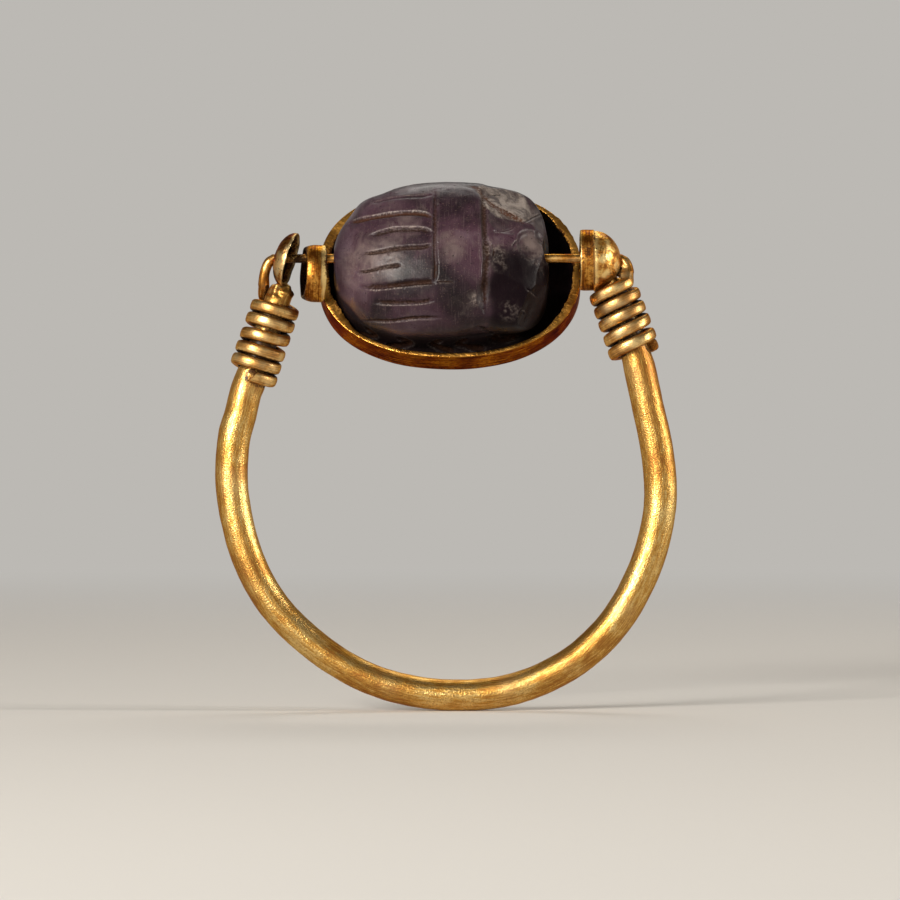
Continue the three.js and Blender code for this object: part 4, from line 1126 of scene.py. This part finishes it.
def amethystMaterial():
    material, tree, shader = newMaterial("polishedDarkAmethyst")
    place = addNode(tree, "TexCoord", {}, "Object")
    painted = {name: addNode(tree, "Attribute", {}, "Fac", attribute_name=name)
               for name in ("milky", "chip", "dark", "grime", "soil", "rust", "pale")}
    across, along = [1 / (size * mm) for size in amethyst["scratchMm"]]
    level = addNode(tree, "Mapping", {"Vector": place, "Rotation": (-bezelTilt, 0, 0)})
    stretched = addNode(tree, "Mapping", {"Vector": level, "Scale": (across, along, along)})
    clouds, wisps, specks, grain, scratches = [
        addNode(tree, "TexNoise", {
            "Vector": where, "Scale": 1 / size, "Detail": detail, "Distortion": twist, "Roughness": rough})
        for where, size, detail, twist, rough in (
            (place, amethyst["cloudMm"] * mm, 4, 0.5, 0.55), (place, amethyst["wispMm"] * mm, 5, 0.8, 0.6),
            (place, amethyst["speckMm"] * mm, 2, 0, 0.55), (place, amethyst["grainMm"] * mm, 3, 0, 0.55),
            (stretched, 1, 3, 0.15, 0.6))]
    crumbs = addNode(tree, "Math", {0: specks, 1: 0.3, 2: wisps}, operation="MULTIPLY_ADD")
    # each mask: what it comes from, where that starts and ends to count, and the mask's value there
    masks = {name: addNode(tree, "MapRange", {0: source, 1: low, 2: high, 3: least, 4: most},
                           interpolation_type="SMOOTHSTEP")
             for name, source, low, high, least, most in (
        ("haze", wisps, 0.30, 0.66, 0.15, 1.0), ("veil", wisps, 0.52, 0.78, 0, 0.5),
        ("scratch", scratches, 0.54, 0.70, 0, 0.17), ("dust", grain, 0.60, 0.70, 0, 0.30),
        ("dot", specks, 0.66, 0.72, 0, 0.7), ("shade", painted["dark"], 0, 1, 0, 0.92),
        ("crumb", crumbs, 0.50, 0.82, 0, 1), ("chipCloud", wisps, 0.3, 0.6, 0.45, 1.15),
        ("grime", painted["grime"], 0.1, 0.9, 0, 0.85), ("sand", specks, 0.45, 0.65, 0, 0.5),
        ("crust", specks, 0.42, 0.62, 1.15, 0.55), ("crustCloud", wisps, 0.3, 0.7, 0.65, 1.3),
        ("bruise", specks, 0.42, 0.60, 0.20, 1.0), ("gleam", wisps, 0.3, 0.7, 0.27, 0.42))}
    cloudy, bruised, crust = [
        addNode(tree, "Math", {0: first, 1: second}, operation="MULTIPLY") for first, second in (
            (painted["milky"], masks["haze"]), (painted["pale"], masks["bruise"]),
            (masks["crust"], masks["crustCloud"]))]
    chipped, caked = [
        addNode(tree, "Math", {0: first, 1: second}, operation="MULTIPLY", use_clamp=True)
        for first, second in ((painted["chip"], masks["chipCloud"]), (painted["soil"], crust))]
    covered = addNode(tree, "MapRange", {0: caked, 1: 0.12, 2: 0.7, 4: 0.92}, interpolation_type="SMOOTHSTEP")
    dulled = addNode(tree, "Math", {0: painted["grime"], 1: painted["dark"]}, operation="MAXIMUM")
    chipTone, earth, tint = [
        addNode(tree, "Mix", {0: factor, 6: first, 7: second}, 2, data_type="RGBA")
        for factor, first, second in (
            (masks["crumb"], *amethyst["chip"]), (painted["rust"], *amethyst["earth"]),
            (dulled, "#FFFFFF", amethyst["dull"]))]
    earth = addNode(tree, "Mix", {0: masks["sand"], 6: earth, 7: amethyst["sand"]}, 2, data_type="RGBA")
    colour = addNode(tree, "ValToRGB", {0: clouds}, stops=amethyst["body"])
    # mixed into the stone's colour: painted sheen, pale dust with painted lip highlights, and painted shade in
    # the darker zones and near black below the back
    for factor, layer in (
            (cloudy, "#7A6A66"), (masks["veil"], "#5C4E4B"), (masks["scratch"], "#7C6B6A"),
            (masks["dust"], "#8C7868"), (masks["dot"], "#120D0E"), (masks["shade"], "#110B0E"),
            (chipped, chipTone), (masks["grime"], "#0B0706"), (covered, earth), (bruised, "#988A82")):
        colour = addNode(tree, "Mix", {0: factor, 6: colour, 7: layer}, 2, data_type="RGBA")
    rough = masks["gleam"]
    for factor, dullness in ((caked, 0.8), (chipped, 0.62), (painted["grime"], 0.85)):
        rough = addNode(tree, "Mix", {0: factor, 2: rough, 3: dullness})
    bump = {}
    for height, (strength, deep) in ((grain, amethyst["fineBump"]), (wisps, amethyst["broadBump"])):
        links = {"Strength": strength, "Distance": deep * mm, "Height": height, **bump}
        bump = {"Normal": addNode(tree, "Bump", links)}
    # painted shade on the gleam: less reflection below the back and in the painted darker zones
    setInputs(tree, shader, {"Base Color": colour, "Roughness": rough, "Specular Tint": tint, **bump,
                             "IOR": amethyst["ior"], "Specular IOR Level": amethyst["specular"]})
    return material


def makeScarab():
    body = roughBody()
    deselectAll()
    bpy.ops.mesh.primitive_cylinder_add(vertices=32, radius=stone["boreRadius"], depth=2 * stone["length"],
                                        rotation=(0, math.pi / 2, 0))
    drill = bpy.context.object
    modify(body, "BOOLEAN", operation="DIFFERENCE", object=drill, solver="EXACT")
    bpy.data.objects.remove(drill)
    legBottom = bezel["base"] + stone["plateHeight"] / 2
    legs = addOval(stone["legs"], stone["blockSteps"], 0, legBottom, stone["legTop"] - legBottom)
    plate = addOval(bezel, stone["blockSteps"], bezel["wall"] + bezel["plateGap"], bezel["base"],
                    stone["plateHeight"])
    deselectAll()
    for part in (legs, plate, body):
        part.select_set(True)
    bpy.context.view_layer.objects.active = body
    bpy.ops.object.join()
    modify(body, "REMESH", mode="VOXEL", voxel_size=stone["voxel"])
    carve(body)
    finishPiece(body, "carvedScarab", "bezel", "scarab_stone", amethystMaterial(), 75)


makeScarab()


# Floor, backdrop and lights

studio = {"floorRadius": 430, "curve": 170, "curveSteps": 14, "wallTop": 230, "steps": 72, "colour": "#D6D3CE",
          "rough": 0.9, "horizon": "#BCB9B4", "fade": (60, 330), "room": "#E6E3DF", "roomLight": 0.14}
# each lamp stands off by its turn from straight in front and its height angle
lampDistance = 400  # mm
lamps = {
    "leftSheet": {"turn": -34, "lift": 17, "size": (150, 160), "watts": 2.15, "colour": "#FFFAF2"},
    "rightStrip": {"turn": 82, "lift": 16, "size": (55, 170), "watts": 0.85, "colour": "#FFF8EE"},
    "rearSheet": {"turn": 172, "lift": 50, "size": (240, 150), "watts": 0.40, "colour": "#FFFAF4"},
}


def paperMaterial():
    # matt pale paper, that glows evenly far off so that floor and wall run into each other
    material, tree, shader = newMaterial("palePaper")
    setInputs(tree, shader, {"Base Color": studio["colour"], "Roughness": studio["rough"]})
    place = addNode(tree, "TexCoord", {}, "Object")
    flat = addNode(tree, "VectorMath", {0: place, 1: (1, 1, 0)}, operation="MULTIPLY")
    reach = addNode(tree, "VectorMath", {0: flat}, "Value", operation="LENGTH")
    start, end = studio["fade"]
    share = addNode(tree, "MapRange", {0: reach, 1: start * mm, 2: end * mm}, interpolation_type="SMOOTHSTEP")
    direct, mirrored, through = [
        addNode(tree, "LightPath", {}, "Is %s Ray" % kind) for kind in ("Camera", "Glossy", "Transmission")]
    seen = addNode(tree, "Math", {0: direct, 1: mirrored}, operation="MAXIMUM")
    seen = addNode(tree, "Math", {0: seen, 1: through}, operation="MAXIMUM")
    share = addNode(tree, "Math", {0: share, 1: seen}, operation="MULTIPLY")
    glow = addNode(tree, "Emission", {"Color": studio["horizon"]})
    blend = addNode(tree, "MixShader", {0: share, 1: shader.outputs[0], 2: glow})
    setInputs(tree, tree.nodes["Material Output"], {"Surface": blend})
    return material


def makeBackdrop():
    # a round pale floor that sweeps up into a low wall on all sides
    floor, radius, curve = cadBounds[0][2] / mm, studio["floorRadius"], studio["curve"]
    turns = [math.pi / 2 * i / studio["curveSteps"] for i in range(1, studio["curveSteps"] + 1)]
    bowl = drawProfile([(0, 0, floor), (radius, 0, floor)] + [
        (radius + curve * math.sin(turn), 0, floor + curve * (1 - math.cos(turn))) for turn in turns]
        + [(radius + curve, 0, studio["wallTop"])])
    bowl.name = "paleBowl"
    edit(bowl)
    bpy.ops.mesh.spin(steps=studio["steps"], angle=math.tau, center=(0, 0, 0), axis=(0, 0, 1))
    bpy.ops.mesh.select_all(action="SELECT")
    bpy.ops.mesh.remove_doubles(threshold=0.01)
    bpy.ops.mesh.normals_make_consistent(inside=True)
    bpy.ops.transform.resize(value=(mm, mm, mm), center_override=(0, 0, 0))
    leaveEdit()
    pick(bowl)
    bpy.ops.object.shade_smooth()
    bowl.data.materials.append(paperMaterial())


def addLamp(name, lamp):
    turn, lift = math.radians(lamp["turn"]), math.radians(lamp["lift"])
    away = Vector((math.sin(turn) * math.cos(lift), -math.cos(turn) * math.cos(lift), math.sin(lift)))
    deselectAll()
    bpy.ops.object.light_add(type="AREA", location=away * lampDistance * mm)
    light = bpy.context.object
    light.name = name
    light.data.shape = "RECTANGLE"
    light.data.size, light.data.size_y = [side * mm for side in lamp["size"]]
    light.data.energy = lamp["watts"]
    light.data.color = hexColour(lamp["colour"])[:3]
    light.visible_camera = False
    light.rotation_euler = (-away).to_track_quat("-Z", "Y").to_euler()


makeBackdrop()
for name, lamp in lamps.items():
    addLamp(name, lamp)

world = bpy.data.worlds.new("softRoom")
bpy.context.scene.world = world
world.use_nodes = True
setInputs(world.node_tree, world.node_tree.nodes["Background"], {
    "Color": studio["room"], "Strength": studio["roomLight"]})
print("stage and lights set")
